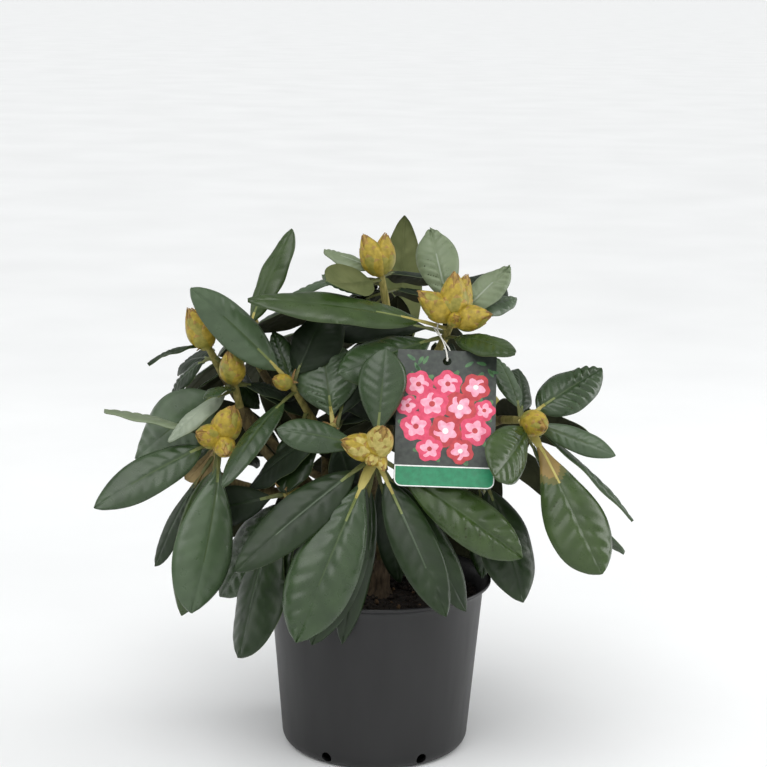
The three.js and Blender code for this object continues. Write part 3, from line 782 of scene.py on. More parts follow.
def leaf_on(name, whorl, axis, order, row, turn):
    """The frame and size of one leaf: root, directions, length, arch and half width."""
    clock, toward, length, drop, roll, breadth = [*row, *(None, 0, 1)[len(row) - 3:]]
    drop = 4 + (order * 5) % 19 if drop is None else drop
    along = heading(clock + turn[0], toward + turn[1])
    face = turned(unit(axis - along * np.dot(axis, along)), along, roll)
    wide = 0.33 * breadth * between(0.92, 1.08, name, order, "width")
    return dict(
        name=name, order=order, root=np.array(whorl["tip"]) - axis * drop, along=along, face=face,
        side=np.cross(along, face), length=length, half=length * wide / 2,
        arch=math.radians(between(20, 47, name, order, "arch")))


def leaf_line(leaf, shares):
    """Points along the arched rib, and the blade's normals there."""
    half = leaf["arch"] / 2
    bend = leaf["length"] / (2 * math.sin(half))
    angle = half * (2 * np.asarray(shares)[:, None] - 1)
    ahead = leaf["along"] * (leaf["length"] / 2 + bend * np.sin(angle))
    rise = leaf["face"] * bend * (np.cos(angle) - math.cos(half))
    return leaf["root"] + ahead + rise, leaf["face"] * np.cos(angle) + leaf["along"] * np.sin(angle)


print("each leaf has", len(LEAF_TURNS), "turns to try")

# %% Leaf list
leaves = {name: [] for name in WHORLS}
for name, whorl in WHORLS.items():
    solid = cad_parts["foliage_" + name].data
    solid_tree = BVHTree.FromPolygons(
        [vertex.co / MM for vertex in solid.vertices], [face.vertices[:] for face in solid.polygons])
    axis = heading(*whorl["axis"])
    for order, row in enumerate([*whorl["leaves"], *more_leaves(name, whorl, axis)]):
        for turn in LEAF_TURNS:
            leaf = leaf_on(name, whorl, axis, order, row, turn)
            rib = leaf_line(leaf, rib_tests)[0]
            if all(solid_tree.find_nearest(Vector(point))[3] < rib_margin for point in rib):
                leaves[name].append(leaf)
                break
print({name: len(grown) for name, grown in leaves.items()}, sum(map(len, leaves.values())), "leaves")

# %% [markdown]
# Leaf finishes
#
# The upper side is dark green with a satin wax that picks up the soft light, the underside a
# matt olive felt, the petiole and the foot of the midrib cream yellow, and the margin a hairline
# of paler green, partly the rolled edge and partly a painted highlight. Some colours are painted
# light: leaves deep in the crown get a darker green as painted shade, the sage and pale greens are
# painted sheen and the grey green partly so, most undersides get a felt darkened as painted shade,
# and one a tan felt lightened as painted light. One material with painted patterns would do for a
# single leaf, but on a joined mesh the patterns lose their place. So plain greens are dealt out
# leaf by leaf, the rib and margin are faces of their own, and noise adds only a quiet mottling,
# wax and pores.

# %% Leaf finishes
def leaf_finish(name, dark, light, smooth, rough, gloss):
    finish, tree, shader = new_finish(name)
    tint_by(tree, shader, add_noise(tree, 55, 5), (0.3, dark), (0.7, light))
    roughen_by(tree, shader, add_noise(tree, 130, 4), smooth, rough)
    bump_by(tree, shader, add_noise(tree, 1500, 3), 0.22, 0.2)
    shader.inputs["Specular IOR Level"].default_value = gloss
    return finish


leaf_finishes = [
    # The first green is painted shade: a darker, duller green for leaves that lie deep inside the crown.
    leaf_finish("leaf_painted_shade", srgb(22, 34, 18), srgb(29, 43, 23), 0.48, 0.6, 0.25),
    leaf_finish("leaf_deep", srgb(22, 38, 14), srgb(32, 50, 21), 0.28, 0.42, 0.36),
    leaf_finish("leaf_mid", srgb(38, 57, 29), srgb(51, 71, 40), 0.23, 0.36, 0.52),
    leaf_finish("leaf_olive", srgb(42, 61, 23), srgb(57, 77, 34), 0.24, 0.37, 0.48),
    # The grey green is partly the leaf's own grey-green and partly painted sheen, for leaves that face the
    # light.
    leaf_finish("leaf_grey_and_painted_sheen", srgb(58, 76, 50), srgb(73, 92, 64), 0.26, 0.39, 0.52),
    # The sage and pale greens are painted sheen: light grey-greens for leaves that catch the light from
    # above.
    leaf_finish("leaf_sage_painted_sheen", srgb(100, 114, 84), srgb(118, 131, 101), 0.4, 0.52, 0.5),
    leaf_finish("leaf_pale_painted_sheen", srgb(124, 136, 116), srgb(144, 154, 134), 0.4, 0.52, 0.5),
    leaf_finish("leaf_ochre", srgb(116, 96, 48), srgb(142, 118, 66), 0.4, 0.54, 0.4),
    leaf_finish("leaf_ochre_green", srgb(80, 80, 40), srgb(100, 98, 52), 0.38, 0.5, 0.4),
    leaf_finish("stalk_cream", srgb(160, 150, 78), srgb(192, 182, 110), 0.45, 0.6, 0.4),
    leaf_finish("stalk_green", srgb(84, 90, 46), srgb(106, 110, 60), 0.45, 0.6, 0.4),
    leaf_finish("rib_pale", srgb(100, 112, 62), srgb(120, 130, 76), 0.42, 0.56, 0.4),
    leaf_finish("rib_green", srgb(52, 70, 38), srgb(64, 82, 46), 0.42, 0.56, 0.4),
    # The rim green is partly the paler rolled margin and partly a painted highlight where the edge catches
    # the light.
    leaf_finish("rim_green_and_highlight", srgb(66, 82, 46), srgb(82, 96, 58), 0.5, 0.6, 0.4),
    # The dark felt is the underside's felt darkened with painted shade, since undersides that face into
    # the crown sit in shade.
    leaf_finish("felt_dark_painted_shade", srgb(46, 50, 33), srgb(62, 64, 43), 0.8, 0.95, 0.2),
    leaf_finish("felt_olive", srgb(84, 92, 55), srgb(104, 110, 71), 0.8, 0.95, 0.2),
    # The tan felt is the underside's felt lightened with painted light, for an underside turned to the
    # light.
    leaf_finish("felt_tan_painted_light", srgb(142, 124, 84), srgb(166, 146, 104), 0.8, 0.95, 0.2),
]
PAINTED_SHADE, DEEP, MID, OLIVE, GREY_AND_PAINTED_SHEEN, SAGE_PAINTED_SHEEN, PALE_PAINTED_SHEEN, OCHRE, OCHRE_GREEN = range(9)
CREAM, STALK, RIB_PALE, RIB_GREEN, RIM_AND_HIGHLIGHT, FELT_PAINTED_SHADE, FELT_OLIVE, FELT_TAN_PAINTED_LIGHT = range(9, 17)
print(len(leaf_finishes), "leaf finishes")

# %% [markdown]
# The blade
#
# Each blade is a closed sheet on a grid that runs with the midrib, so rows and columns can be
# bent by simple formulas: a long arch, two swelling halves beside a sunken rib, pillows between
# the side veins, a wavy margin that rolls under, and a slight twist. A flat card with a
# vein picture would need no such grid, but it would lose the soft broken highlights that make
# these leaves look leathery.

# %% Leaf shapes
blade_rows = 58
blade_columns = np.array([0, 0.06, 0.14, 0.24, 0.36, 0.49, 0.62, 0.74, 0.85, 1])
vein_pairs = 9
LEAF_OUTLINE = [
    (0, 0.09), (0.04, 0.25), (0.1, 0.47), (0.2, 0.72), (0.35, 0.93), (0.48, 1), (0.58, 0.99),
    (0.7, 0.91), (0.82, 0.72), (0.91, 0.47), (0.97, 0.23), (1, 0.03)]
# Single leaves whose fullness, bluntness or quilting is not left to chance.
FULLNESS = {("inner_left", 4): 1.45, ("inner", 2): 1.5, ("inner", 3): 1.4, ("inner_left", 3): 1.2}
BLUNTNESS = {
    ("right", 0): 1.65, ("left", 1): 1.35, ("front", 1): 1.45, ("inner", 0): 1.25, ("front", 2): 1.4,
    ("front", 0): 1.25, ("right", 1): 1.2, ("low_right", 0): 0.95, ("front", 4): 1.25, ("left", 4): 1.6,
    ("top_right", 1): 1.4, ("right", 2): 0.85, ("low_left", 0): 1.45, ("inner_left", 0): 0.95,
    ("top_right", 0): 0.85}
QUILTS = {
    ("right", 2): 4.0, ("inner", 0): 3.0, ("front", 4): 2.8, ("top_right", 1): 3.0, ("front", 0): 1.8,
    ("right", 1): 2.0, ("left", 1): 0.8, ("front", 1): 0.7, ("right", 0): 1.8, ("front", 2): 0.6,
    ("top_right", 2): 2.4}
print("a leaf is widest at", max(LEAF_OUTLINE, key=lambda pair: pair[1])[0], "of its length")

# %% Blade relief
def blade_height(leaf, across, along, edge, half):
    """How far each point of the blade stands above its flat form."""
    key = leaf["name"], leaf["order"]
    lean = 0.55 * np.abs(across) / leaf["length"] + 0.05 * edge ** 2
    panel = vein_pairs * (along - lean) + np.where(across < 0, 0.5, 0) + chance(*key, "vein")
    crease = np.abs(2 * (panel - np.floor(panel)) - 1)
    inside = soft_step(0.02, 0.22, edge) * (1 - soft_step(0.7, 0.98, edge)) * soft_step(0, 0.1, along)
    patch = 0.7 + 0.45 * np.sin(8 * along + across / 8 + 9 * chance(*key, "patch"))
    quilt = QUILTS.get(key, between(0.6, 1.2, *key, "quilt")) * patch
    height = quilt * (1 - crease ** 2.4) * inside
    height -= between(0.08, 0.22, *key, "roof") * half * edge
    height -= between(0.05, 0.15, *key, "crown") * half * edge ** 3
    height -= (between(0.06, 0.11, *key, "groove") - 0.04 * along) * half * np.exp(-edge / 0.12)
    height -= 0.8 * soft_step(0.85, 1, edge) * soft_step(0, 0.15, along)
    swing = 2 * math.pi * (between(1.6, 2.8, *key, "waves") * along + chance(*key, "swing"))
    sway = between(0.4, 1.2, *key, "sway") * soft_step(0.05, 0.4, along)
    return height + sway * edge ** 2 * np.sin(swing + np.where(across < 0, 1.9, 0))


print("relief of", vein_pairs, "pairs of side veins ready")

# %% Blade grid
def blade_grid(leaf):
    """Top and under grids of a blade, and the place of each row along it."""
    place = np.linspace(0, 1, blade_rows) ** 0.92
    centre, normal = leaf_line(leaf, PETIOLE_SHARE + (1 - PETIOLE_SHARE) * place)
    key = leaf["name"], leaf["order"]
    blunt = BLUNTNESS.get(key, between(0.88, 1.15, *key, "blunt"))
    half = curve_through(LEAF_OUTLINE, place ** blunt) * leaf["half"] * FULLNESS.get(key, 1.05)
    rib = np.minimum(1.5 - 1.2 * place ** 0.5, half * 0.4)
    out = rib[:, None] + (half - rib)[:, None] * blade_columns
    across = np.concatenate([-out[:, ::-1], np.zeros((blade_rows, 1)), out], 1)
    edge = np.abs(across) / half[:, None]
    along = place[:, None]

    twist = math.radians(between(-11, 11, *key, "twist")) * along[..., None] ** 1.5
    sideways = leaf["side"] * np.cos(twist) + normal[:, None] * np.sin(twist)
    upward = normal[:, None] * np.cos(twist) - leaf["side"] * np.sin(twist)
    height = blade_height(leaf, across, along, edge, half[:, None])
    top = centre[:, None] + sideways * across[..., None] + upward * height[..., None]
    keel = (1.7 - 1.3 * along) * np.exp(-(across / (0.8 * rib[:, None] + 0.5)) ** 2)
    thick = 0.75 - 0.3 * edge ** 2 + keel
    return top, top - upward * thick[..., None], place


print("a blade has", 8 * (blade_rows - 1) * len(blade_columns), "triangles on its two sides")

# %% Blade faces
# A rib is a step lighter than its blade: deep on leaves in painted shade, and the pale painted-sheen green
# on leaves with painted sheen.
RIBS = {PAINTED_SHADE: DEEP, DEEP: MID, SAGE_PAINTED_SHEEN: PALE_PAINTED_SHEEN, PALE_PAINTED_SHEEN: PALE_PAINTED_SHEEN}


def add_blade(pile, leaf, green, stalk, felt, ochre):
    """One blade, with its rib, margin and underside as faces of their own finish. The share of it
    that ochre gives is withered at its foot."""
    top, under, place = blade_grid(leaf)
    points, upper, lower, edge = closed_sheet(top, under)
    columns = top.shape[1] - 1
    column = np.tile(np.arange(columns), blade_rows - 1)
    row = np.repeat(place[:-1], columns)
    offset = np.abs(column - (columns - 1) / 2)
    finish = np.full(len(upper), green)
    sound = row - ochre * (1 + 0.25 * np.sin(column / columns * 4 - 0.6))
    finish[(ochre > 0) & (sound < 0.05)] = OCHRE_GREEN
    finish[(ochre > 0) & (sound < 0)] = OCHRE
    finish[offset < 3 - 50 * row] = stalk
    rib = offset < 1
    finish[rib & (row < 0.65)] = RIBS.get(green, RIB_GREEN)
    finish[rib & (row < (0.25 if stalk == CREAM else 0.1))] = RIB_PALE
    finish[rib & (row < (0.1 if stalk == CREAM else 0.04) + ochre)] = stalk
    # The edge faces take the rim green, partly the leaf's paler margin and partly a painted highlight.
    finish = np.concatenate([finish, np.full(len(lower), felt), np.full(len(edge), RIM_AND_HIGHLIGHT)])
    pile.add(points, np.concatenate([upper, lower, edge]), finish)


print("finishes of a blade: green, rib, rim and felt")

# %% [markdown]
# Petioles and whorls of leaves
#
# A stout petiole carries each blade, flattened above, and runs on into the midrib. It follows
# the same arched line as the blade, so it is swept along that line and sinks below the surface
# as it narrows. Each whorl then becomes one mesh of leaves that stands for its solid.

# %% Petiole
petiole_sides = 12
petiole_rows = np.linspace(-0.01, 0.28, 12)
STOUT, SLENDER = 1.4, 0.68


def add_petiole(pile, leaf, stalk, stout):
    centre, normal = leaf_line(leaf, petiole_rows)
    inside = soft_step(0.12, 0.28, petiole_rows)[:, None, None]
    wide = stout * (3.3 - 0.5 * soft_step(0, 0.16, petiole_rows)[:, None, None] - 2.3 * inside)
    angle = np.linspace(0, 2 * math.pi, petiole_sides, endpoint=False)[None, :, None]
    flat = np.where(np.sin(angle) > 0, 0.45, 0.75)
    sideways = -leaf["side"] * np.cos(angle) * wide
    upward = normal[:, None] * (np.sin(angle) * wide * flat - 1.5 * inside)
    pile.add(*tube(centre[:, None] + sideways + upward), stalk)


print("a petiole has", petiole_sides, "sides and", len(petiole_rows), "rows")

# %% Leaf colours
OCHRE_LEAVES = {("right", 0): 0.22, ("left", 4): 0.1}
CREAM_STALKS = {
    ("front", 0), ("front", 1), ("front", 2), ("front", 3), ("inner", 0), ("top_right", 0),
    ("top_right", 1), ("right", 0), ("right", 2), ("back_left", 0), ("inner_left", 0)}
STOUT_STALKS = {("front", 0), ("front", 1), ("front", 2), ("right", 0)}
# Undersides take the felt darkened with painted shade unless listed here: the olive felt is the plain
# felt, and the tan felt carries painted light.
FELTS = {("left", 6): FELT_TAN_PAINTED_LIGHT, ("top", 2): FELT_OLIVE, ("back", 0): FELT_OLIVE}
# Greens for single leaves. Deep, mid and olive are the leaves' own colours; the shade green is painted
# shade on leaves deep in the crown, the grey green is partly painted sheen, and the sage and pale greens
# are painted sheen on leaves that catch the light.
GREENS = {
    ("front", 0): MID, ("front", 1): MID, ("front", 2): MID, ("front", 3): DEEP, ("front", 4): OLIVE,
    ("front", 5): DEEP, ("front", 6): DEEP, ("front", 7): DEEP, ("front", 8): DEEP, ("front", 9): PAINTED_SHADE,
    ("top_right", 0): OLIVE, ("top_right", 1): SAGE_PAINTED_SHEEN, ("top_right", 2): SAGE_PAINTED_SHEEN, ("top_right", 3): GREY_AND_PAINTED_SHEEN,
    ("top_right", 4): OLIVE, ("top_right", 5): MID, ("right", 0): OLIVE, ("right", 1): OLIVE,
    ("right", 2): MID, ("right", 3): GREY_AND_PAINTED_SHEEN, ("right", 6): GREY_AND_PAINTED_SHEEN, ("left", 0): MID, ("left", 1): GREY_AND_PAINTED_SHEEN,
    ("left", 2): SAGE_PAINTED_SHEEN, ("left", 3): DEEP, ("left", 4): DEEP, ("inner_left", 0): GREY_AND_PAINTED_SHEEN,
    ("inner_left", 1): MID, ("inner_left", 3): PAINTED_SHADE, ("inner_left", 4): DEEP, ("inner", 0): GREY_AND_PAINTED_SHEEN,
    ("inner", 1): PAINTED_SHADE, ("inner", 2): PAINTED_SHADE, ("inner", 3): PAINTED_SHADE, ("mid_left", 0): GREY_AND_PAINTED_SHEEN,
    ("mid_left", 2): PALE_PAINTED_SHEEN, ("mid_left", 3): PAINTED_SHADE, ("upper_left", 2): DEEP, ("top", 5): PAINTED_SHADE,
    ("low_left", 0): DEEP, ("low_right", 0): DEEP, ("low_right", 1): DEEP, ("top", 0): PAINTED_SHADE,
    ("top", 1): SAGE_PAINTED_SHEEN, ("top", 3): GREY_AND_PAINTED_SHEEN, ("top", 4): GREY_AND_PAINTED_SHEEN, ("back", 0): MID, ("back_left", 0): OLIVE}
print(len(GREENS), "leaves have a green of their own")

# %% Leaves
for name, grown in leaves.items():
    pile = Pile()
    for leaf in grown:
        key = name, leaf["order"]
        # Unlisted leaves of a whorl with more than one listed leaf sit deep in the crown and get the
        # painted shade green.
        in_painted_shade = leaf["order"] >= len(WHORLS[name]["leaves"]) > 1
        green = GREENS.get(key, PAINTED_SHADE if in_painted_shade else DEEP + int(3 * chance(*key, "green")))
        stalk = CREAM if key in CREAM_STALKS else STALK
        add_blade(pile, leaf, green, stalk, FELTS.get(key, FELT_PAINTED_SHADE), OCHRE_LEAVES.get(key, 0))
        add_petiole(pile, leaf, stalk, STOUT if key in STOUT_STALKS else SLENDER)
    make_piece("leaves_" + name, pile, leaf_finishes, ["foliage_" + name], crease=60)
print("leaves:", triangles, "triangles so far")

# %% [markdown]
# Green stems and dry bracts
#
# Each whorl sits on a short green stem. Below the buds cling a few dry bracts, the scales of last
# year's bud. The stem is a tube like the limbs; the bracts are small curled sheets set round it by
# the golden angle.

# %% Stem and bract
stem_finish = bark_finish("green_stem", srgb(112, 108, 52), srgb(164, 152, 86))
bract_finish = bark_finish("dry_bract", srgb(104, 78, 44), srgb(168, 138, 88))
STEM, BRACT = range(2)


def stem_radius(share):
    return 3.4 - 0.8 * share


def add_bract(pile, root, way, axis, long):
    """A small pointed sheet that leaves a root in a direction and curls back to the axis."""
    right = unit(np.cross(axis, way))
    lift = np.cross(way, right)
    share = np.linspace(0, 1, 7)[:, None, None]
    side = np.linspace(-1, 1, 5)[None, :, None]
    breadth = 1.7 * (1 - share) ** 0.7 + 0.15
    sheet = root + way * share * long + right * side * breadth - lift * (share ** 2 * 2 - side ** 2 * 0.5)
    points, upper, lower, edge = closed_sheet(sheet, sheet - lift * 0.35)
    pile.add(points, np.concatenate([upper, lower, edge]), BRACT)


print("stems taper from", stem_radius(0), "to", round(stem_radius(1), 1), "mm")

# %% Stems
pile = Pile()
for name, whorl in WHORLS.items():
    axis = heading(*whorl["axis"])
    tip = np.array(whorl["tip"], float)
    base = tip - axis * whorl["stem"]
    line = base, (base + tip) / 2, tip
    pile.add(*tube(limb_rings(line, stem_radius, sides=16, step_mm=1.5, relief=0.05)), STEM)
    for bract in range(3 + 2 * len(whorl["buds"])):
        way = splay(axis, bract * GOLDEN_ANGLE + 40, between(24, 62, name, bract, "bract"))
        root = tip - axis * between(1, 9, name, bract, "low") + way * 1.5
        add_bract(pile, root, way, axis, between(7, 13, name, bract, "long"))
make_piece("stems", pile, [stem_finish, bract_finish], crease=60)
print("stems:", triangles, "triangles so far")

# %% [markdown]
# Flower buds
#
# The fat buds hold next year's bloom: large golden scales that overlap like roof tiles, the lower
# ones outside, each with a thin brown edge and a pointed tip. A turned egg with a bump map keeps a
# smooth outline, and real buds have small points standing off. So every scale is a sheet of its
# own, laid round the egg by the golden angle.

# %% Bud finishes
def bud_finish(name, dark, light):
    finish, tree, shader = new_finish(name)
    blotch = add_noise(tree, 260, 5)
    tint_by(tree, shader, blotch, (0.3, dark), (0.7, light))
    roughen_by(tree, shader, blotch, 0.42, 0.6)
    bump_by(tree, shader, add_noise(tree, 1800, 3), 0.25, 0.2)
    return finish


bud_finishes = [
    bud_finish("scale_gold", srgb(136, 118, 28), srgb(184, 159, 56)),
    bud_finish("scale_amber", srgb(132, 104, 42), srgb(172, 138, 68)),
    bud_finish("scale_olive", srgb(122, 117, 38), srgb(160, 151, 68)),
    bud_finish("scale_cream", srgb(160, 146, 68), srgb(202, 186, 112)),
    bud_finish("scale_edge", srgb(120, 88, 40), srgb(150, 116, 58)),
]
GOLD, AMBER, OLIVE_SCALE, CREAM_SCALE, SCALE_EDGE = range(5)
print(len(bud_finishes), "bud finishes")

# %% Bud sizes
BUD_LENGTH = 34
BUD_RADIUS = 9
BUD_SINK = 4
BUD_SPREAD = 6
BUD_OUTLINE = [
    (0, 0.42), (0.12, 0.74), (0.3, 1), (0.45, 0.98), (0.6, 0.84), (0.75, 0.6), (0.88, 0.34), (1, 0.05)]
bud_scales = 18
brown_tip = 0.87
brown_crown = 0.8
scale_rows = np.linspace(0, 1, 9)
scale_columns = np.linspace(-1, 1, 9)
print("a full bud is", BUD_LENGTH, "mm long with", bud_scales, "scales")

# %% One bud
def frame_about(way):
    """Right and up of a direction, square to it."""
    right = unit(np.cross(across_of(way), way))
    return right, np.cross(way, right)


def add_bud(pile, root, way, size, key):
    """A bud of overlapping scales: root and direction, and size against a full bud."""
    right, up = frame_about(way)

    def skin(share, angle, lift):
        wide = (curve_through(BUD_OUTLINE, np.clip(share, 0, 1)) * BUD_RADIUS + lift) * size
        out = right * np.cos(angle)[..., None] + up * np.sin(angle)[..., None]
        return root + way * (share * BUD_LENGTH * size)[..., None] + out * wide[..., None]

    angles = np.linspace(0, 2 * math.pi, 16, endpoint=False)
    pile.add(*tube(skin(*np.meshgrid(np.linspace(0, 0.97, 9), angles, indexing="ij"), -0.9)), AMBER)
    row, column = np.meshgrid(scale_rows, scale_columns, indexing="ij")
    shades = (CREAM_SCALE, CREAM_SCALE, GOLD) if key[0] == "front" else (GOLD, OLIVE_SCALE, GOLD)
    tip = np.repeat(scale_rows[:-1], len(scale_columns) - 1) > brown_tip
    for scale in range(bud_scales):
        high = scale / (bud_scales - 1)
        share = 0.42 * high + (0.48 + 0.1 * high) * between(0.93, 1.05, *key, scale, "reach") * row
        turn = math.radians(scale * GOLDEN_ANGLE + 360 * chance(*key, "turn"))
        angle = turn + column * (math.radians(60) * (1 - row ** 2.6) ** 0.8 + 0.02)
        stand = 0.7 * (1 - high) + between(-0.1, 0.25, *key, scale, "stand") * row ** 3
        lift = stand + 0.35 * (1 - np.abs(column)) * (1 - 0.5 * row) - 0.35 * column ** 2
        points, upper, lower, edge = closed_sheet(skin(share, angle, lift), skin(share, angle, lift - 0.4))
        tint = shades[int(len(shades) * chance(*key, scale, "tint"))]
        finish = np.full(len(upper), tint)
        finish[tip] = SCALE_EDGE if high > brown_crown else AMBER
        finish = np.concatenate([finish, np.full(len(lower), tint), np.full(len(edge), SCALE_EDGE)])
        pile.add(points, np.concatenate([upper, lower, edge]), finish)


print("a bud's tips turn brown over the last", round(1 - brown_tip, 2), "of each scale")

# %% Buds
pile = Pile()
for name, whorl in WHORLS.items():
    axis = heading(*whorl["axis"])
    for order, (clock, toward, *size) in enumerate(whorl["buds"]):
        way = heading(clock, toward)
        aside = way - axis * np.dot(axis, way)
        root = np.array(whorl["tip"]) + aside * BUD_SPREAD - way * BUD_SINK
        add_bud(pile, root, way, *(size or [1]), (name, order))
make_piece("flower_buds", pile, bud_finishes, crease=50)
print(sum(len(whorl["buds"]) for whorl in WHORLS.values()), "buds,", triangles, "triangles so far")

# %% [markdown]
# The hang label
#
# A stiff printed card with a punched hole hangs from the top right shoot. Its print here is a
# plain posy of five-petalled flowers on a dark ground, over a bare green band with a white line.
# A painted image is the usual way to print a card; without one, each petal and leaf can be a thin
# raised shape, laid one over the other like cut paper, which also keeps its edges crisp.

# %% Label finishes
def print_finish(name, dark, light):
    finish, tree, shader = new_finish(name)
    tint_by(tree, shader, add_noise(tree, 240, 5), (0.3, dark), (0.7, light))
    roughen_by(tree, shader, add_noise(tree, 90, 3), 0.4, 0.52)
    return finish


label_finishes = [
    print_finish("print_ground", srgb(30, 36, 33), srgb(56, 64, 56)),
    print_finish("print_rose", srgb(196, 38, 78), srgb(224, 72, 110)),
    print_finish("print_red", srgb(164, 30, 44), srgb(198, 56, 62)),
    print_finish("print_blush", srgb(226, 128, 156), srgb(244, 186, 204)),
    print_finish("print_leaf", srgb(44, 84, 52), srgb(80, 124, 74)),
    print_finish("print_band", srgb(8, 112, 74), srgb(20, 134, 90)),
    print_finish("print_white", srgb(226, 230, 226), srgb(244, 246, 244)),
]
GROUND, ROSE, RED, BLUSH, LEAF, BAND, WHITE = range(7)
print(len(label_finishes), "print colours")

# %% Card outline
label_matrix = (
    Matrix.Translation((53, -52.5, 334.7))
    @ Matrix.Rotation(math.radians(59), 4, "X")
    @ Matrix.Rotation(math.radians(-1.2), 4, "Z")
)
LABEL_HALF = 39
LABEL_TOP = 9
LABEL_BOTTOM = -104
LABEL_THICK = 0.8
LABEL_CORNER = 6
LABEL_HOLE = 3.5


def corner(centre, radius, start, steps=8):
    """A quarter turn of points about a corner's centre."""
    angles = np.radians(start + np.linspace(0, 90, steps))
    return np.array(centre) + radius * np.stack([np.cos(angles), np.sin(angles)], 1)


def card_outline(inset, high, round_top):
    """A card shape with round lower corners, anticlockwise from its lower left."""
    wide = LABEL_HALF - inset
    low = LABEL_BOTTOM + inset
    radius = LABEL_CORNER - inset
    return np.concatenate([
        corner((-wide + radius, low + radius), radius, 180),
        corner((wide - radius, low + radius), radius, 270),
        corner((wide - round_top, high - round_top), round_top, 0),
        corner((-wide + round_top, high - round_top), round_top, 90),
    ])


hole_steps = np.radians(np.linspace(0, 360, 40, endpoint=False))
hole = LABEL_HOLE * np.stack([np.cos(hole_steps), np.sin(hole_steps)], 1)
print("card", 2 * LABEL_HALF, "by", LABEL_TOP - LABEL_BOTTOM, "mm")

# %% Label card
card_curve = bpy.data.curves.new("label_card", "CURVE")
card_curve.dimensions = "2D"
card_curve.fill_mode = "BOTH"
card_curve.extrude = LABEL_THICK / 2
for outline in (card_outline(0, LABEL_TOP, 0.8), hole):
    spline = card_curve.splines.new("POLY")
    spline.points.add(len(outline) - 1)
    for point, (x, y) in zip(spline.points, outline):
        point.co = x, y, LABEL_THICK / 2, 1
    spline.use_cyclic_u = True
curve_object = bpy.data.objects.new("label_curve", card_curve)
card_mesh = bpy.data.meshes.new_from_object(curve_object)
bpy.data.objects.remove(curve_object)
card_mesh.transform(Matrix.Diagonal((MM, MM, MM, 1)) @ label_matrix)
card_mesh.materials.clear()
card_mesh.materials.append(label_finishes[GROUND])
card = bpy.data.objects.new("label_card", card_mesh)
bpy.context.scene.collection.objects.link(card)
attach(card, "root")
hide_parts("label")
print("label card:", len(card_mesh.polygons), "faces")

# %% Raised shapes
label_turn = np.array(label_matrix.to_3x3())
label_place = np.array(label_matrix.to_translation())
FACE = LABEL_THICK
SUNK = 0.4


def on_label(points):
    return np.asarray(points, float) @ label_turn.T + label_place


def prism(pile, outline, high, finish):
    """A flat shape that stands out of the card, fanned from its middle."""
    count = len(outline)
    index = np.arange(count)
    after = np.roll(index, -1)
    none = np.full(count, -1)
    flat = [np.column_stack([outline, np.full(count, level)]) for level in (SUNK, high)]
    points = np.concatenate([*flat, [[*outline.mean(0), SUNK], [*outline.mean(0), high]]])
    sides = np.stack([index, after, after + count, index + count], 1)
    under = np.stack([after, index, np.full(count, 2 * count), none], 1)
    over = np.stack([index + count, after + count, np.full(count, 2 * count + 1), none], 1)
    pile.add(on_label(points), np.concatenate([sides, under, over]), finish)


print("raised shapes start", SUNK, "mm inside the card")

# %% Petals
def petal(centre, way, long, wide):
    """A blunt petal that leaves a centre in a direction given in degrees."""
    share = np.linspace(0, 1, 9)
    half = wide * np.sin(np.pi * share ** 0.75) ** 0.8 / 2
    reach = long * share * (1 - 0.1 * (share > 0.99))
    outline = np.concatenate([np.stack([reach, -half], 1), np.stack([reach, half], 1)[-2:0:-1]])
    angle = math.radians(way)
    turn = np.array([[math.cos(angle), math.sin(angle)], [-math.sin(angle), math.cos(angle)]])
    return np.array(centre) + outline @ turn


def blossom(pile, centre, size, turn, outer, level):
    """Five petals with a paler heart and a small eye."""
    for order in range(5):
        way = turn + 72 * order
        high = level + 0.012 * order
        prism(pile, petal(centre, way, size, size * 1.02), high, outer)
        prism(pile, petal(centre, way, size * 0.7, size * 0.5), high + 0.03, BLUSH)
    prism(pile, np.array(centre) + hole * size * 0.045, level + 0.12, RED if outer == ROSE else WHITE)


print("a petal has", len(petal((0, 0), 0, 1, 1)), "corners")

# %% Label print
POSY = [
    (-22, -20, 13), (1, -19, 13), (23, -21, 13), (-30, -38, 10), (-11, -36, 15), (11, -38, 15),
    (30, -40, 10), (-23, -55, 14), (0, -58, 15), (23, -57, 14), (-12, -73, 12), (12, -74, 12)]
band_top = -86.6
sprig_count = 14
pile = Pile()
prism(pile, card_outline(0.3, band_top, 0.2), FACE + 0.03, WHITE)
prism(pile, card_outline(1.1, band_top - 1, 0.2), FACE + 0.05, BAND)
for order in range(sprig_count):
    spot = between(-33, 33, "sprig", order, "x"), between(-12, 4, "sprig", order, "y")
    if math.hypot(*spot) > 13:
        prism(pile, petal(spot, between(0, 360, "sprig", order, "way"), 9, 3), FACE + 0.04, LEAF)
for order, (x, y, size) in enumerate(POSY):
    for way in (30, 150, 270):
        leaf_way = way + 40 * chance("posy", order, way)
        prism(pile, petal((x, y), leaf_way, size * 1.2, 6), FACE + 0.05, LEAF)
for order, (x, y, size) in enumerate(POSY):
    outer = (ROSE, ROSE, RED)[order % 3]
    blossom(pile, (x, y), size, 24 * order, outer, FACE + 0.07 + 0.02 * order)
make_piece("label_print", pile, label_finishes, crease=30)
print("label print:", triangles, "triangles so far")

# %% [markdown]
# The tie
#
# A thin white string runs through the hole and over the stalk of a leaf, and is knotted there. It
# is two plies twisted together, which shows even at this size. A single smooth tube would look
# like wire, so two thin tubes wind round the route, and a small three-lobed knot closes the loop.

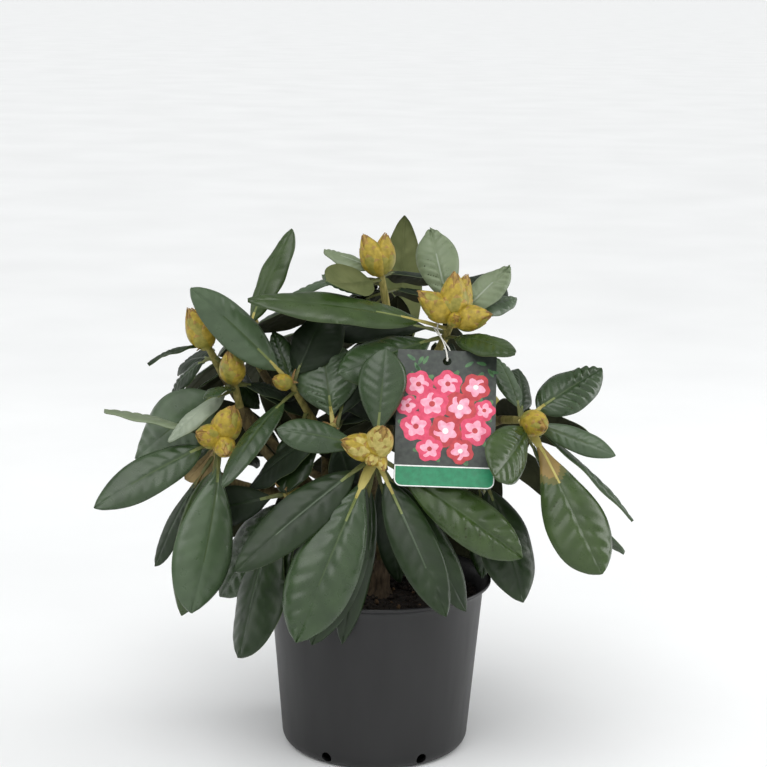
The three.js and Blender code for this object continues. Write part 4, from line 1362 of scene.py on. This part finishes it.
# %% Cord helpers
def smooth_route(points, steps):
    """A Catmull-Rom route through points, with even steps between neighbours."""
    padded = np.concatenate([[2 * points[0] - points[1]], points, [2 * points[-1] - points[-2]]])
    share = np.linspace(0, 1, steps, endpoint=False)[:, None]
    runs = []
    for a, b, c, d in zip(padded, padded[1:], padded[2:], padded[3:]):
        bend = (2 * a - 5 * b + 4 * c - d) * share ** 2 + (3 * b - a - 3 * c + d) * share ** 3
        runs.append(b + 0.5 * ((c - a) * share + bend))
    return np.concatenate([*runs, points[-1:]])


def cord_rings(route, radius, sides, wind=0.0, pitch=1.0, start=0.0):
    """Rings of a cord along a route, wound round it at a distance, once every pitch."""
    ways = np.gradient(route, axis=0)
    ways /= np.linalg.norm(ways, axis=1)[:, None]
    gone = np.concatenate([[0], np.cumsum(np.linalg.norm(np.diff(route, axis=0), axis=1))])
    right = frame_about(ways[0])[0]
    angles = np.linspace(0, 2 * math.pi, sides, endpoint=False)[:, None]
    rings = []
    for centre, way, far in zip(route, ways, gone):
        right = unit(right - way * np.dot(right, way))
        up = np.cross(way, right)
        lay = 2 * math.pi * far / pitch + start
        middle = centre + wind * (right * math.cos(lay) + up * math.sin(lay))
        rings.append(middle + radius * (right * np.cos(angles) + up * np.sin(angles)))
    return np.array(rings)


print("cord helpers ready")

# %% String finish
tie_finish, tree, shader = new_finish("white_string")
fibre = add_noise(tree, 1400, 4)
tint_by(tree, shader, fibre, (0.3, srgb(214, 212, 204)), (0.7, srgb(240, 239, 234)))
bump_by(tree, shader, fibre, 0.5, 0.3)
shader.inputs["Roughness"].default_value = 0.85
print("white string with a fine fibre")

# %% String
tie_bend = 3.2
ply_radius = 0.42
ply_wind = 0.38
ply_pitch = 3.2
knot_scale = 0.4
knot_radius = 0.45
cord_sides = 7
tied_leaf = leaves["top_right"][0]
stalk_place, stalk_face = (row[0] for row in leaf_line(tied_leaf, [0.065]))
turns = [(-1.2, 0), (0, -1.2), (1, 0), (0, 1)]
knot, *rounds = [
    stalk_place + (tied_leaf["side"] * aside + stalk_face * above) * tie_bend for aside, above in turns]
threads = on_label([(-1.8, 11, 2.2), (0, 1.8, 1.6), (0, 1.8, -0.8), (1.8, 11, -3)])
route = smooth_route(np.array([knot, *threads, *rounds, knot]), 18)
pile = Pile()
for start in (0, math.pi):
    pile.add(*tube(cord_rings(route, ply_radius, cord_sides, ply_wind, ply_pitch, start)), 0)
loop = np.linspace(0, 2 * math.pi, 61)
lobes = [np.sin(loop) + 2 * np.sin(2 * loop), np.cos(loop) - 2 * np.cos(2 * loop), -np.sin(3 * loop)]
pile.add(*tube(cord_rings(knot + np.stack(lobes, 1) * knot_scale, knot_radius, cord_sides)), 0)
make_piece("label_string", pile, [tie_finish], ["label_tie"], crease=60)
length = np.linalg.norm(np.diff(route, axis=0), axis=1).sum()
print("string:", round(length), "mm long,", triangles, "triangles so far")
